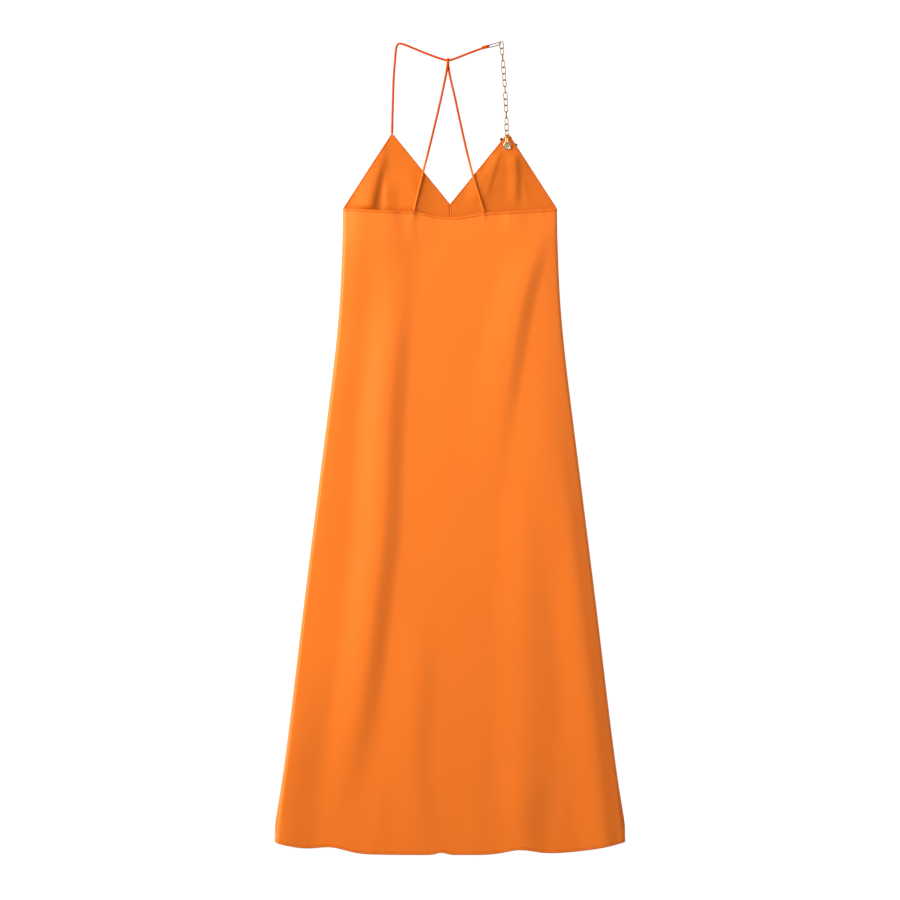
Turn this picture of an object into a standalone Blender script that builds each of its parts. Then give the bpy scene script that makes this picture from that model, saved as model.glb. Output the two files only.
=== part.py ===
"""Long satin slip dress laid flat on its front, with its back uppermost.

The dress is made of the pieces a maker cuts: the front of the skirt, two triangular
cups, the back, a shoulder strap, a folded back strap and a chain for the right shoulder
with its ring, sew-on plate and ornament.

X runs across the dress, Y from the hem to the shoulders and Z up from the surface that
the dress lies on. Sizes are written in millimetres and turned into metres where a mesh
is made. A "level" is a height up the dress, measured from the lowest point of its hem.
"""

import math
from collections import namedtuple

import bmesh
import bpy
from mathutils import Matrix, Vector

MM = 0.001

# Cloth and seams.
CLOTH = 1.5
GAP = 0.3
ROLLED_EDGE = 3.0
ROLLED_EXTRA = 0.5
HEM_DEPTH = 5.0
HEM_EXTRA = 0.5

# Levels up the dress, and half widths.
MIDDLE_LEVEL = 703.4
BUST_SEAM_LEVEL = 1070.0
SIDE_TOP_LEVEL = 1118.0
SIDE_TOP_HALF = 185.0
NECK_LEVEL = 1125.5
CUP_TIP_LEVEL = 1246.0
CUP_TIP_X = 100.0
CUP_TIP_WIDTH = 4.0

# Straps.
STRAP = 3.6
STRAP_STEP = 10.0
STRAP_SIDES = 8

# Chain: an oval link of round wire.
WIRE = 1.5
LINK_LENGTH = 14.3
LINK_WIDTH = 8.6
LINK_PITCH = LINK_LENGTH - 2 * WIRE - GAP
LINK_SIDES = 6
END_LINK_LENGTH = 24.5
END_LINK_WIDTH = 7.5

# Fittings on the right cup's tip.
RING_X = 98.6
RING_LEVEL = 1225.2
RING_RADIUS = 6.1
RING_WIRE = 2.0
RING_LIFT = 3.6
RING_CORNERS = 24
PLATE_RADIUS = 4.3
PLATE_THICKNESS = 1.0
PLATE_HOLE_RADIUS = 0.8
PLATE_HOLE_CIRCLE = 2.0
PLATE_HOLES = 3
PLATE_CUT_CLEAR = 1.0
ORNAMENT_RADIUS = 13.4
ORNAMENT_PETAL = 4.8
ORNAMENT_PETALS = 6
ORNAMENT_TURN = 8.0
ORNAMENT_THICKNESS = 3.0
ORNAMENT_BEVEL = 0.8

# Half width of the skirt and of the back at each level.
SideRow = namedtuple("SideRow", "level half_width")
SIDE = (
    SideRow(0.0, 303.0),
    SideRow(34.0, 302.0),
    SideRow(233.0, 276.8),
    SideRow(440.0, 251.8),
    SideRow(648.0, 225.8),
    SideRow(856.0, 200.0),
    SideRow(960.0, 190.5),
    SideRow(1063.0, 186.0),
    SideRow(SIDE_TOP_LEVEL, SIDE_TOP_HALF),
)

# The hem rises to the side seams and in three shallow waves.
HEM_CORNER_RISE = 22.0
HEM_CORNER_POWER = 4
HemWave = namedtuple("HemWave", "x half_width rise")
HEM_WAVES = (
    HemWave(-205.0, 34.0, 8.5),
    HemWave(-15.0, 11.0, 4.0),
    HemWave(121.0, 34.0, 8.0),
)

# Top edge of the back: it sags between the two ends of the back strap.
TopRow = namedtuple("TopRow", "x level")
BACK_TOP = (
    TopRow(-185.0, 1117.5),
    TopRow(-104.0, 1113.5),
    TopRow(-60.0, 1111.5),
    TopRow(-20.0, 1104.5),
    TopRow(10.0, 1102.5),
    TopRow(43.0, 1107.5),
    TopRow(60.0, 1110.0),
    TopRow(105.0, 1112.5),
    TopRow(185.0, 1117.5),
)

# A fold is a ridge that rises gently from the left and falls in a steeper flank to the
# right. Its track is the middle of the flank, from the fold's lower end to its upper end,
# and it fades in and out over a stretch at each end.
Fold = namedtuple("Fold", "height gentle steep fade_low fade_high track")
TrackRow = namedtuple("TrackRow", "level x")
BACK_FOLDS = (
    Fold(7.4, 58.0, 37.0, 300.0, 330.0, (
        TrackRow(20.0, -190.0),
        TrackRow(95.0, -171.0),
        TrackRow(250.0, -137.0),
        TrackRow(458.0, -111.0),
        TrackRow(562.0, -99.0),
        TrackRow(769.0, -90.0),
        TrackRow(1043.0, -67.0),
        TrackRow(1112.0, -61.0),
    )),
    Fold(5.4, 62.0, 28.0, 360.0, 110.0, (
        TrackRow(580.0, 96.0),
        TrackRow(717.0, 100.0),
        TrackRow(856.0, 119.0),
        TrackRow(960.0, 138.0),
        TrackRow(1046.0, 161.0),
        TrackRow(1090.0, 174.0),
    )),
    Fold(3.4, 60.0, 66.0, 130.0, 300.0, (
        TrackRow(0.0, 154.0),
        TrackRow(60.0, 156.0),
        TrackRow(250.0, 166.0),
        TrackRow(406.0, 164.0),
        TrackRow(613.0, 174.0),
        TrackRow(717.0, 180.0),
        TrackRow(960.0, 188.0),
    )),
    Fold(3.0, 60.0, 38.0, 150.0, 160.0, (
        TrackRow(-40.0, -15.0),
        TrackRow(34.0, -24.0),
        TrackRow(146.0, -46.0),
        TrackRow(302.0, -36.0),
        TrackRow(450.0, -38.0),
    )),
    Fold(2.0, 40.0, 44.0, 260.0, 160.0, (
        TrackRow(380.0, -206.0),
        TrackRow(717.0, -181.0),
        TrackRow(890.0, -152.0),
        TrackRow(1110.0, -154.0),
    )),
    Fold(6.8, 26.0, 72.0, 60.0, 230.0, (
        TrackRow(-60.0, -262.0),
        TrackRow(95.0, -252.0),
        TrackRow(198.0, -238.0),
        TrackRow(390.0, -222.0),
    )),
    Fold(3.4, 40.0, 34.0, 40.0, 120.0, (
        TrackRow(-40.0, 144.0),
        TrackRow(50.0, 152.0),
        TrackRow(180.0, 146.0),
    )),
    Fold(4.2, 60.0, 30.0, 40.0, 260.0, (
        TrackRow(-50.0, 290.0),
        TrackRow(233.0, 262.0),
        TrackRow(440.0, 237.0),
        TrackRow(648.0, 211.0),
        TrackRow(820.0, 190.0),
    )),
)
# The back stands this much above the front. It rounds down to its side seams over LEFT and
# RIGHT, and sinks to a share of its height at the top edge, over the stretch TOP.
PILLOW = 4.0
PILLOW_LEFT = 6.0
PILLOW_RIGHT = 42.0
PILLOW_TOP = 60.0
PILLOW_TOP_SHARE = 0.35
PILLOW_TOP_CLEAR = 8.0
# Where the back's top edge is lifted by a cup's folds: full between two x values, gone
# outside two more, and growing from the start level to the full level.
Lift = namedtuple("Lift", "height left left_full right_full right start full")
BACK_LIFTS = (
    Lift(8.6, -215.0, -150.0, -112.0, -50.0, 930.0, 1112.0),
    Lift(2.4, -84.0, -66.0, -50.0, -14.0, 1040.0, 1100.0),
    Lift(1.6, 88.0, 104.0, 112.0, 140.0, 1060.0, 1100.0),
)

# Rows and columns of the panels' points, and the levels where rows change their run.
FRONT_HEM_SETBACK = 2.4
FRONT_HEM_POINTS = 48
BACK_COLUMNS = 38
BACK_EVEN_ROWS = 20
BACK_EVEN_TOP = 1080.0
BACK_LAST_LEVELS = (1096.0, 1106.0)
BACK_TOP_ROWS = 2
HEM_STEP = 1.5
HEM_RISE_REACH = 160.0
TOP_FOLLOW_LEVEL = 950.0
CUP_LOW_LEVELS = (1085.0, 1100.0, 1110.0)
CUP_EVEN_ROWS = 13
CUP_EVEN_COLUMNS = 20

# Folds of the cups. A negative width mirrors a fold: gentle on its right.
LEFT_CUP_FOLDS = (
    Fold(7.4, 34.0, 21.0, 45.0, 62.0, (
        TrackRow(1080.0, -131.0),
        TrackRow(1117.0, -130.0),
        TrackRow(1145.0, -130.0),
        TrackRow(1174.0, -123.0),
        TrackRow(1208.0, -112.0),
        TrackRow(1236.0, -104.0),
    )),
    Fold(1.8, -26.0, -9.0, 45.0, 45.0, (
        TrackRow(1080.0, -113.5),
        TrackRow(1117.0, -114.0),
        TrackRow(1145.0, -115.5),
        TrackRow(1174.0, -112.0),
        TrackRow(1205.0, -104.0),
    )),
    Fold(2.8, 44.0, 42.0, 40.0, 30.0, (
        TrackRow(1080.0, -38.0),
        TrackRow(1118.0, -42.0),
        TrackRow(1150.0, -44.0),
        TrackRow(1194.0, -58.0),
    )),
)
RIGHT_CUP_FOLDS = (
    Fold(3.6, 20.0, 100.0, 56.0, 40.0, (
        TrackRow(1108.0, 86.0),
        TrackRow(1170.0, 100.0),
        TrackRow(1225.0, 112.0),
    )),
    Fold(2.2, 16.0, 14.0, 26.0, 26.0, (
        TrackRow(1118.0, 72.0),
        TrackRow(1157.0, 76.0),
        TrackRow(1191.0, 82.0),
        TrackRow(1214.0, 90.0),
    )),
    Fold(2.8, 16.0, 18.0, 26.0, 26.0, (
        TrackRow(1112.0, 112.0),
        TrackRow(1132.0, 113.0),
        TrackRow(1170.0, 118.0),
        TrackRow(1208.0, 116.0),
    )),
)
# The cups' folds die away under the back, between these levels.
CUP_FOLD_END_LEVEL = 1088.0
CUP_FOLD_FULL_LEVEL = 1118.0
# The ornament holds up the tip of the right cup, level as far as FLAT from the ring and
# back on the surface at REACH.
TIP_FLAT = 12.0
TIP_REACH = 62.0

# Straps: a row for each place where the run changes. roll turns the width about the run.
StrapRow = namedtuple("StrapRow", "x level z width thickness roll")
SHOULDER_STRAP = (
    StrapRow(-100.3, 1246.4, 1.8, 4.0, 2.6, 0),
    StrapRow(-99.5, 1281.0, 1.8, STRAP, STRAP, 0),
    StrapRow(-98.6, 1312.0, 1.8, STRAP, STRAP, 0),
    StrapRow(-97.4, 1345.0, 1.8, STRAP, STRAP, 0),
    StrapRow(-94.8, 1378.0, 1.8, STRAP, STRAP, 0),
    StrapRow(-93.3, 1395.0, 1.8, STRAP, STRAP, 0),
    StrapRow(-91.4, 1401.6, 1.8, STRAP, STRAP, 0),
    StrapRow(-87.4, 1403.8, 1.8, STRAP, STRAP, 0),
    StrapRow(-79.6, 1401.5, 1.8, STRAP, STRAP, 0),
    StrapRow(-58.8, 1393.0, 1.8, STRAP, STRAP, 0),
    StrapRow(-38.1, 1384.5, 1.8, STRAP, STRAP, 0),
    StrapRow(-17.3, 1377.0, 2.2, STRAP, 3.0, 0),
    StrapRow(-8.0, 1373.8, 2.9, 3.8, 2.0, 0),
    StrapRow(1.0, 1373.8, 2.9, 3.8, 2.0, 0),
    StrapRow(8.0, 1376.6, 2.4, STRAP, 3.0, 0),
    StrapRow(24.2, 1383.0, 1.9, STRAP, STRAP, 10),
    StrapRow(40.0, 1389.1, 2.6, 3.8, 3.0, 35),
)
# The strap's end in the plane of the fold: along the strap and off its line, measured
# from the wire of the end link that it holds.
FoldRow = namedtuple("FoldRow", "along off width thickness")
STRAP_END = (
    FoldRow(-12.0, 1.0, 4.4, 1.6),
    FoldRow(-5.0, 1.15, 4.2, 1.6),
    FoldRow(-1.2, 2.05, 3.4, 1.6),
    FoldRow(1.7, 1.95, 3.0, 1.5),
    FoldRow(3.0, 0.0, 3.0, 1.5),
    FoldRow(1.7, -1.95, 3.0, 1.5),
    FoldRow(-1.2, -2.05, 3.4, 1.6),
    FoldRow(-5.0, -1.15, 4.2, 1.6),
    FoldRow(-11.0, -1.05, 4.4, 1.6),
)
BACK_STRAP = (
    StrapRow(-62.6, 1112.9, 6.1, 4.0, 3.2, 0),
    StrapRow(-55.0, 1145.0, 6.4, STRAP, STRAP, 0),
    StrapRow(-47.2, 1177.5, 5.2, STRAP, STRAP, 0),
    StrapRow(-36.7, 1219.0, 2.8, STRAP, STRAP, 0),
    StrapRow(-29.2, 1250.0, 1.8, STRAP, STRAP, 0),
    StrapRow(-21.8, 1281.0, 1.8, STRAP, STRAP, 0),
    StrapRow(-14.7, 1312.0, 1.8, STRAP, STRAP, 0),
    StrapRow(-8.6, 1341.0, 1.8, STRAP, STRAP, 0),
    StrapRow(-6.4, 1352.0, 2.1, 3.7, 3.0, 0),
    StrapRow(-5.4, 1358.5, 3.0, 3.9, 1.8, 0),
    StrapRow(-4.2, 1365.0, 3.5, 4.2, 1.6, 0),
    StrapRow(-3.6, 1370.6, 5.0, 4.2, 1.6, 0),
    StrapRow(-3.5, 1374.2, 5.0, 4.2, 1.6, 0),
    StrapRow(-3.5, 1376.4, 4.2, 4.2, 1.6, 0),
    StrapRow(-3.5, 1377.2, 2.9, 4.2, 1.6, 0),
    StrapRow(-3.5, 1376.4, 1.6, 4.2, 1.6, 0),
    StrapRow(-3.5, 1374.2, 0.85, 4.2, 1.6, 0),
    StrapRow(-3.2, 1365.0, 0.85, 4.2, 1.6, 0),
    StrapRow(-2.2, 1358.5, 0.95, 3.9, 1.8, 0),
    StrapRow(-1.0, 1352.0, 1.6, 3.7, 3.0, 0),
    StrapRow(1.0, 1341.0, 1.8, STRAP, STRAP, 0),
    StrapRow(8.0, 1312.0, 1.8, STRAP, STRAP, 0),
    StrapRow(14.6, 1281.0, 1.8, STRAP, STRAP, 0),
    StrapRow(21.4, 1250.0, 1.8, STRAP, STRAP, 0),
    StrapRow(28.4, 1219.0, 2.8, STRAP, STRAP, 0),
    StrapRow(38.8, 1177.5, 6.4, STRAP, STRAP, 0),
    StrapRow(48.5, 1145.0, 6.8, STRAP, STRAP, 0),
    StrapRow(58.9, 1111.4, 4.1, 4.0, 3.2, 0),
)

# Tilt of each chain link about the run of the chain, from the shoulder to the ring.
# Neighbours differ by 55 degrees or more, so that their wires pass through each other.
LINK_TILTS = (20, -40, 80, -40, 20, -45, 35, 95, -25, 35, -35, 80, -40, 20, -50, 60)
CHAIN_HEIGHT = 4.4
CHAIN_RISE_LEVEL = 1300.0
CHAIN_LEAN = 9.3
CHAIN_LEAN_POWER = 1.7
# The last link hangs this far from the ring's middle.
CHAIN_START_OFF = -0.4
END_LINK_ANGLE = 14.0
END_LINK_TILT = 50.0
# The end link's wire passes through the first link here, measured from its centre.
END_LINK_HOOK = (-1.55, 3.0, 1.2)

# Colours.
SATIN = (0.96, 0.24, 0.03, 1.0)
GOLD = (0.80, 0.58, 0.28, 1.0)
SILVER = (0.72, 0.68, 0.60, 1.0)
BLACK = (0.015, 0.012, 0.012, 1.0)


def clear_scene():
    for thing in list(bpy.data.objects):
        bpy.data.objects.remove(thing, do_unlink=True)


def finish(name, colour, roughness, metallic):
    """A plain material from one colour."""
    material = bpy.data.materials.new(name)
    material.use_nodes = True
    shader = material.node_tree.nodes["Principled BSDF"]
    shader.inputs["Base Color"].default_value = colour
    shader.inputs["Roughness"].default_value = roughness
    shader.inputs["Metallic"].default_value = metallic
    return material


def in_frame(x, level, z):
    """A point of the dress in the part's frame, in metres."""
    return Vector((x, level - MIDDLE_LEVEL, z)) * MM


def smoothstep(low, high, value):
    share = min(1.0, max(0.0, (value - low) / (high - low)))
    return share * share * (3.0 - 2.0 * share)


def rounded(reach, distance):
    """Rises from 0 to 1 over the reach like a quarter of an ellipse, steep at its start."""
    share = min(1.0, max(0.0, distance / reach))
    return math.sqrt(share * (2.0 - share))


def curve_through(knots, values, at):
    """Smooth curve through values at rising knots, read at one place."""
    last = len(knots) - 1
    at = min(max(at, knots[0]), knots[last])
    i = 0
    while i < last - 1 and at > knots[i + 1]:
        i += 1

    def slope(k):
        before, after = max(k - 1, 0), min(k + 1, last)
        return (values[after] - values[before]) / (knots[after] - knots[before])

    span = knots[i + 1] - knots[i]
    t = (at - knots[i]) / span
    return (
        values[i] * (2 * t**3 - 3 * t**2 + 1)
        + values[i + 1] * (3 * t**2 - 2 * t**3)
        + slope(i) * span * (t**3 - 2 * t**2 + t)
        + slope(i + 1) * span * (t**3 - t**2)
    )


def table_curve(rows, at):
    """Smooth curve through a table of two columns, read at a value of the first."""
    return curve_through([row[0] for row in rows], [row[1] for row in rows], at)


# ---------------------------------------------------------------- outlines


def half_width(level):
    return table_curve(SIDE, level)


def hem_level(x):
    rise = HEM_CORNER_RISE * (abs(x) / half_width(0.0)) ** HEM_CORNER_POWER
    for wave in HEM_WAVES:
        rise += wave.rise * math.exp(-(((x - wave.x) / wave.half_width) ** 2))
    return rise


def cup_sides(level):
    """Distances of a cup's outer and inner edges from the centre line."""
    if level <= SIDE_TOP_LEVEL:
        outer = half_width(level)
    else:
        share = (level - SIDE_TOP_LEVEL) / (CUP_TIP_LEVEL - SIDE_TOP_LEVEL)
        outer = SIDE_TOP_HALF + (CUP_TIP_X + CUP_TIP_WIDTH / 2 - SIDE_TOP_HALF) * share
    inner = GAP / 2
    if level > NECK_LEVEL:
        share = (level - NECK_LEVEL) / (CUP_TIP_LEVEL - NECK_LEVEL)
        inner += (CUP_TIP_X - CUP_TIP_WIDTH / 2 - inner) * share
    return outer, inner


# ---------------------------------------------------------------- heights


def fold_height(fold, x, level):
    levels = [row.level for row in fold.track]
    side = 1.0 if fold.steep > 0 else -1.0
    across = side * (x - table_curve(fold.track, level))
    steep, gentle = abs(fold.steep), abs(fold.gentle)
    rise = smoothstep(-steep / 2 - gentle, -steep / 2, across)
    fall = 1.0 - smoothstep(-steep / 2, steep / 2, across)
    start = smoothstep(levels[0], levels[0] + fold.fade_low, level)
    end = 1.0 - smoothstep(levels[-1] - fold.fade_high, levels[-1], level)
    return fold.height * rise * fall * start * end


def tip_lift(x, level):
    """How far the ornament holds the right cup's cloth off the surface."""
    distance = math.hypot(x - RING_X, level - RING_LEVEL)
    fall = smoothstep(TIP_FLAT + ORNAMENT_PETAL, TIP_REACH, distance)
    return (ORNAMENT_THICKNESS + GAP) * (1.0 - fall)


def cup_underside(x, level):
    folds = LEFT_CUP_FOLDS if x < 0 else RIGHT_CUP_FOLDS
    height = sum(fold_height(fold, x, level) for fold in folds)
    return height * smoothstep(CUP_FOLD_END_LEVEL, CUP_FOLD_FULL_LEVEL, level) + tip_lift(x, level)


def lift_height(lift, x, level):
    across = smoothstep(lift.left, lift.left_full, x)
    across *= 1.0 - smoothstep(lift.right_full, lift.right, x)
    return lift.height * across * smoothstep(lift.start, lift.full, level)


def back_underside(x, level):
    """The back lies on the front, stands off it a little, and carries its own folds."""
    edge = half_width(level)
    side = rounded(PILLOW_LEFT, x + edge) * rounded(PILLOW_RIGHT, edge - x)
    sunk = smoothstep(SIDE_TOP_LEVEL - PILLOW_TOP, SIDE_TOP_LEVEL - PILLOW_TOP_CLEAR, level)
    pillow = PILLOW * (1.0 - (1.0 - PILLOW_TOP_SHARE) * sunk)
    folds = sum(fold_height(fold, x, level) for fold in BACK_FOLDS)
    lifts = sum(lift_height(lift, x, level) for lift in BACK_LIFTS)
    return CLOTH + GAP + side * (pillow + folds) + lifts


# ---------------------------------------------------------------- builders


def new_object(name, shape, material, smooth_angle=40.0):
    """Put a finished bmesh in the scene as one named object."""
    bmesh.ops.recalc_face_normals(shape, faces=shape.faces)
    mesh = bpy.data.meshes.new(name)
    shape.to_mesh(mesh)
    shape.free()
    mesh.materials.append(material)
    mesh.shade_smooth()
    mesh.set_sharp_from_angle(angle=math.radians(smooth_angle))
    thing = bpy.data.objects.new(name, mesh)
    bpy.context.scene.collection.objects.link(thing)
    return thing


def cloth_panel(name, columns, rows, point, wall, material):
    """A sheet laid point by point, given a wall by extruding it upwards.

    point(i, j) is the underside at a column and a row, and wall(i, j) the thickness there.
    """
    sheet = bmesh.new()
    bmesh.ops.create_grid(sheet, x_segments=columns, y_segments=rows, size=0.5)
    places = {}
    for vertex in sheet.verts:
        places[vertex] = (round((vertex.co.x + 0.5) * columns), round((vertex.co.y + 0.5) * rows))
    for vertex, (i, j) in places.items():
        vertex.co = in_frame(*point(i, j))
    walls = {tuple(vertex.co): wall(*places[vertex]) for vertex in sheet.verts}
    raised = bmesh.ops.extrude_face_region(sheet, geom=list(sheet.faces))
    for vertex in raised["geom"]:
        if isinstance(vertex, bmesh.types.BMVert):
            vertex.co.z += walls[tuple(vertex.co)] * MM
    return new_object(name, sheet, material)


def swept(name, rings, material, closed=False):
    """A solid through rings of points, capped at its ends unless it closes on itself."""
    shape = bmesh.new()
    loops = [[shape.verts.new(point * MM) for point in ring] for ring in rings]
    pairs = list(zip(loops, loops[1:]))
    if closed:
        pairs.append((loops[-1], loops[0]))
    for first, second in pairs:
        for k in range(len(first)):
            nxt = (k + 1) % len(first)
            shape.faces.new((first[k], first[nxt], second[nxt], second[k]))
    if not closed:
        shape.faces.new(loops[0])
        shape.faces.new(loops[-1])
    return new_object(name, shape, material, smooth_angle=60.0)


def oval_section(centre, across, above, width, thickness, sides):
    ring = []
    for k in range(sides):
        turn = 2 * math.pi * (k + 0.5) / sides
        sideways = across * (width / 2 * math.cos(turn))
        ring.append(centre + sideways + above * (thickness / 2 * math.sin(turn)))
    return ring


def strap(name, rows, material):
    """A rouleau through a table of places, read from one smooth curve."""
    knots = [0.0]
    for before, after in zip(rows, rows[1:]):
        knots.append(knots[-1] + math.dist(before[:3], after[:3]))
    columns = list(zip(*rows))
    stations = []
    for low, high in zip(knots, knots[1:]):
        count = max(1, round((high - low) / STRAP_STEP))
        for k in range(count):
            along = low + (high - low) * k / count
            stations.append([curve_through(knots, column, along) for column in columns])
    stations.append(list(rows[-1]))

    centres = [Vector((x, level - MIDDLE_LEVEL, z)) for x, level, z, *_ in stations]
    rings = []
    across = None
    for k, centre in enumerate(centres):
        run = (centres[min(k + 1, len(centres) - 1)] - centres[max(k - 1, 0)]).normalized()
        if across is None:
            across = run.cross(Vector((0, 0, 1))).normalized()
        across = (across - run * across.dot(run)).normalized()
        width, thickness, roll = stations[k][3:]
        turned = Matrix.Rotation(math.radians(roll), 3, run) @ across
        rings.append(oval_section(centre, turned, turned.cross(run), width, thickness, STRAP_SIDES))
    return swept(name, rings, material)


def wire_oval(name, length, width, wire, corners, material):
    """A closed oval of round wire, lying in its own XY plane with its length along X."""
    radius = (width - wire) / 2
    straight = (length - width) / 2
    rings = []
    for k in range(corners):
        turn = 2 * math.pi * (k + 0.5) / corners
        outwards = Vector((math.cos(turn), math.sin(turn), 0))
        centre = outwards * radius + Vector((math.copysign(straight, outwards.x), 0, 0))
        rings.append(oval_section(centre, outwards, Vector((0, 0, 1)), wire, wire, LINK_SIDES))
    return swept(name, rings, material, closed=True)


def place_link(thing, centre, run, tilt):
    """Turn a link so that its length follows run and its plane is tilted about it."""
    run = run.normalized()
    across = run.cross(Vector((0, 0, 1))).normalized()
    across = Matrix.Rotation(math.radians(tilt), 3, run) @ across
    turned = Matrix((run, across, run.cross(across))).transposed().to_4x4()
    thing.matrix_world = Matrix.Translation(centre * MM) @ turned


# ---------------------------------------------------------------- cloth pieces


def skirt_front(material):
    """The front of the skirt lies flat on the surface, so it is one flat cut piece."""
    outline = []
    width = half_width(0.0)
    for k in range(FRONT_HEM_POINTS + 1):
        x = width * (2 * k / FRONT_HEM_POINTS - 1)
        outline.append((x, hem_level(x) + FRONT_HEM_SETBACK))
    rise = [row.level for row in SIDE[1:-1]] + [BUST_SEAM_LEVEL - GAP / 2]
    outline += [(half_width(level), level) for level in rise]
    outline += [(-half_width(level), level) for level in reversed(rise)]
    shape = bmesh.new()
    face = shape.faces.new([shape.verts.new(in_frame(x, level, 0.0)) for x, level in outline])
    raised = bmesh.ops.extrude_face_region(shape, geom=[face])
    top = [item for item in raised["geom"] if isinstance(item, bmesh.types.BMVert)]
    bmesh.ops.translate(shape, verts=top, vec=(0, 0, CLOTH * MM))
    return new_object("skirt_front", shape, material)


def cup(name, side, material):
    """One triangular cup, from the seam under the bust to its tip."""
    levels = [BUST_SEAM_LEVEL + GAP / 2, *CUP_LOW_LEVELS, SIDE_TOP_LEVEL, NECK_LEVEL]
    step = (CUP_TIP_LEVEL - NECK_LEVEL) / CUP_EVEN_ROWS
    levels += [NECK_LEVEL + step * (k + 1) for k in range(CUP_EVEN_ROWS)]
    columns = CUP_EVEN_COLUMNS + 2

    def point(i, j):
        outer, inner = cup_sides(levels[j])
        rolled = min(ROLLED_EDGE, 0.25 * (outer - inner))
        even = (outer - inner - 2 * rolled) / CUP_EVEN_COLUMNS
        across = [inner + rolled + even * k for k in range(CUP_EVEN_COLUMNS + 1)]
        across = [inner, *across, outer]
        x = side * across[i if side > 0 else columns - i]
        return x, levels[j], cup_underside(x, levels[j])

    def wall(i, j):
        at_edge = (i in (0, 1, columns - 1, columns)) and levels[j] > SIDE_TOP_LEVEL
        return CLOTH + (ROLLED_EXTRA if at_edge else 0.0)

    return cloth_panel(name, columns, len(levels) - 1, point, wall, material)


def back_panel(material):
    """The back, from its hem to its nearly straight top edge."""
    hem_top = HEM_DEPTH + HEM_STEP
    step = (BACK_EVEN_TOP - hem_top) / BACK_EVEN_ROWS
    nominal = [0.0, HEM_DEPTH, hem_top]
    nominal += [hem_top + step * (k + 1) for k in range(BACK_EVEN_ROWS)]
    nominal += BACK_LAST_LEVELS
    rows = len(nominal) - 1 + BACK_TOP_ROWS

    def point(i, j):
        share = 2 * i / BACK_COLUMNS - 1
        if j < len(nominal):
            level = nominal[j]
            x = share * half_width(level)
            top = table_curve(BACK_TOP, x)
            level += hem_level(x) * (1.0 - smoothstep(0.0, HEM_RISE_REACH, level))
            level += (top - SIDE_TOP_LEVEL) * smoothstep(TOP_FOLLOW_LEVEL, nominal[-1], level)
        else:
            x = share * SIDE_TOP_HALF
            level = table_curve(BACK_TOP, x) - ROLLED_EDGE * (rows - j)
        return x, level, back_underside(x, level)

    def wall(i, j):
        if j <= 1:
            return CLOTH + HEM_EXTRA
        return CLOTH + (ROLLED_EXTRA if j >= rows - 1 else 0.0)

    return cloth_panel("back_panel", BACK_COLUMNS, rows, point, wall, material)


# ---------------------------------------------------------------- chain


def ring_height():
    """Height of the ring's centre: its lower side rests on the cup, its upper is lifted."""
    return ORNAMENT_THICKNESS + GAP + CLOTH + GAP + RING_WIRE / 2 + RING_LIFT / 2


def chain_point(level, start):
    """The chain's run above the surface, rising to the ring at its lower end."""
    share = max(0.0, (level - start.y) / (LINK_PITCH * (len(LINK_TILTS) - 1)))
    rise = start.z - CHAIN_HEIGHT
    height = CHAIN_HEIGHT + rise * (1.0 - smoothstep(start.y, CHAIN_RISE_LEVEL, level))
    return Vector((start.x - CHAIN_LEAN * share**CHAIN_LEAN_POWER, level, height))


def chain_centres():
    """Centres of the links from the ring up to the shoulder, each a pitch apart."""
    tilt = math.asin(RING_LIFT / (2 * RING_RADIUS))
    wire_level = RING_LEVEL + RING_RADIUS * math.cos(tilt)
    first_level = wire_level - RING_WIRE / 2 - GAP - WIRE / 2 + (LINK_LENGTH - WIRE) / 2
    start = Vector((RING_X + CHAIN_START_OFF, first_level, ring_height() + RING_LIFT / 2))
    centres = [chain_point(start.y, start)]
    while len(centres) < len(LINK_TILTS):
        here = centres[-1]
        level = here.y + LINK_PITCH
        for _ in range(6):
            there = chain_point(level, start)
            level += LINK_PITCH - (there - here).length
        centres.append(chain_point(level, start))
    return centres


def chain(material):
    """The links, numbered from the shoulder down to the ring."""
    centres = list(reversed(chain_centres()))
    shared = None
    for k, (centre, tilt) in enumerate(zip(centres, LINK_TILTS)):
        name = f"link_{k + 1:02d}"
        if shared is None:
            link = wire_oval(name, LINK_LENGTH, LINK_WIDTH, WIRE, 16, material)
            shared = link.data
        else:
            link = bpy.data.objects.new(name, shared)
            bpy.context.scene.collection.objects.link(link)
        run = centres[max(k - 1, 0)] - centres[min(k + 1, len(centres) - 1)]
        place_link(link, centre - Vector((0, MIDDLE_LEVEL, 0)), run, tilt)
    return centres[0]


def end_link_frame(first_link):
    """Centre and run of the long link between the first chain link and the strap."""
    angle = math.radians(END_LINK_ANGLE)
    run = Vector((math.cos(angle), math.sin(angle), 0))
    inside = first_link + Vector(END_LINK_HOOK)
    return inside - run * ((END_LINK_LENGTH - WIRE) / 2), run


def end_link(first_link, material):
    centre, run = end_link_frame(first_link)
    link = wire_oval("end_link", END_LINK_LENGTH, END_LINK_WIDTH, WIRE, 16, material)
    place_link(link, centre - Vector((0, MIDDLE_LEVEL, 0)), run, END_LINK_TILT)


def shoulder_strap(first_link, material):
    """The strap's long run, then its end folded round the wire of the end link."""
    centre, run = end_link_frame(first_link)
    wire = centre - run * ((END_LINK_LENGTH - WIRE) / 2)
    across = Matrix.Rotation(math.radians(END_LINK_TILT), 3, run) @ run.cross(Vector((0, 0, 1)))
    off = across.cross(run)
    rows = list(SHOULDER_STRAP)
    for row in STRAP_END:
        place = wire + run * row.along + off * row.off
        rows.append(StrapRow(*place, row.width, row.thickness, END_LINK_TILT))
    strap("shoulder_strap", rows, material)


# ---------------------------------------------------------------- fittings


def tip_ring(material):
    across = 2 * RING_RADIUS + RING_WIRE
    ring = wire_oval("tip_ring", across, across, RING_WIRE, RING_CORNERS, material)
    tilt = math.asin(RING_LIFT / (2 * RING_RADIUS))
    ring.location = in_frame(RING_X, RING_LEVEL, ring_height())
    ring.rotation_euler = (tilt, 0, 0)


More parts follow.
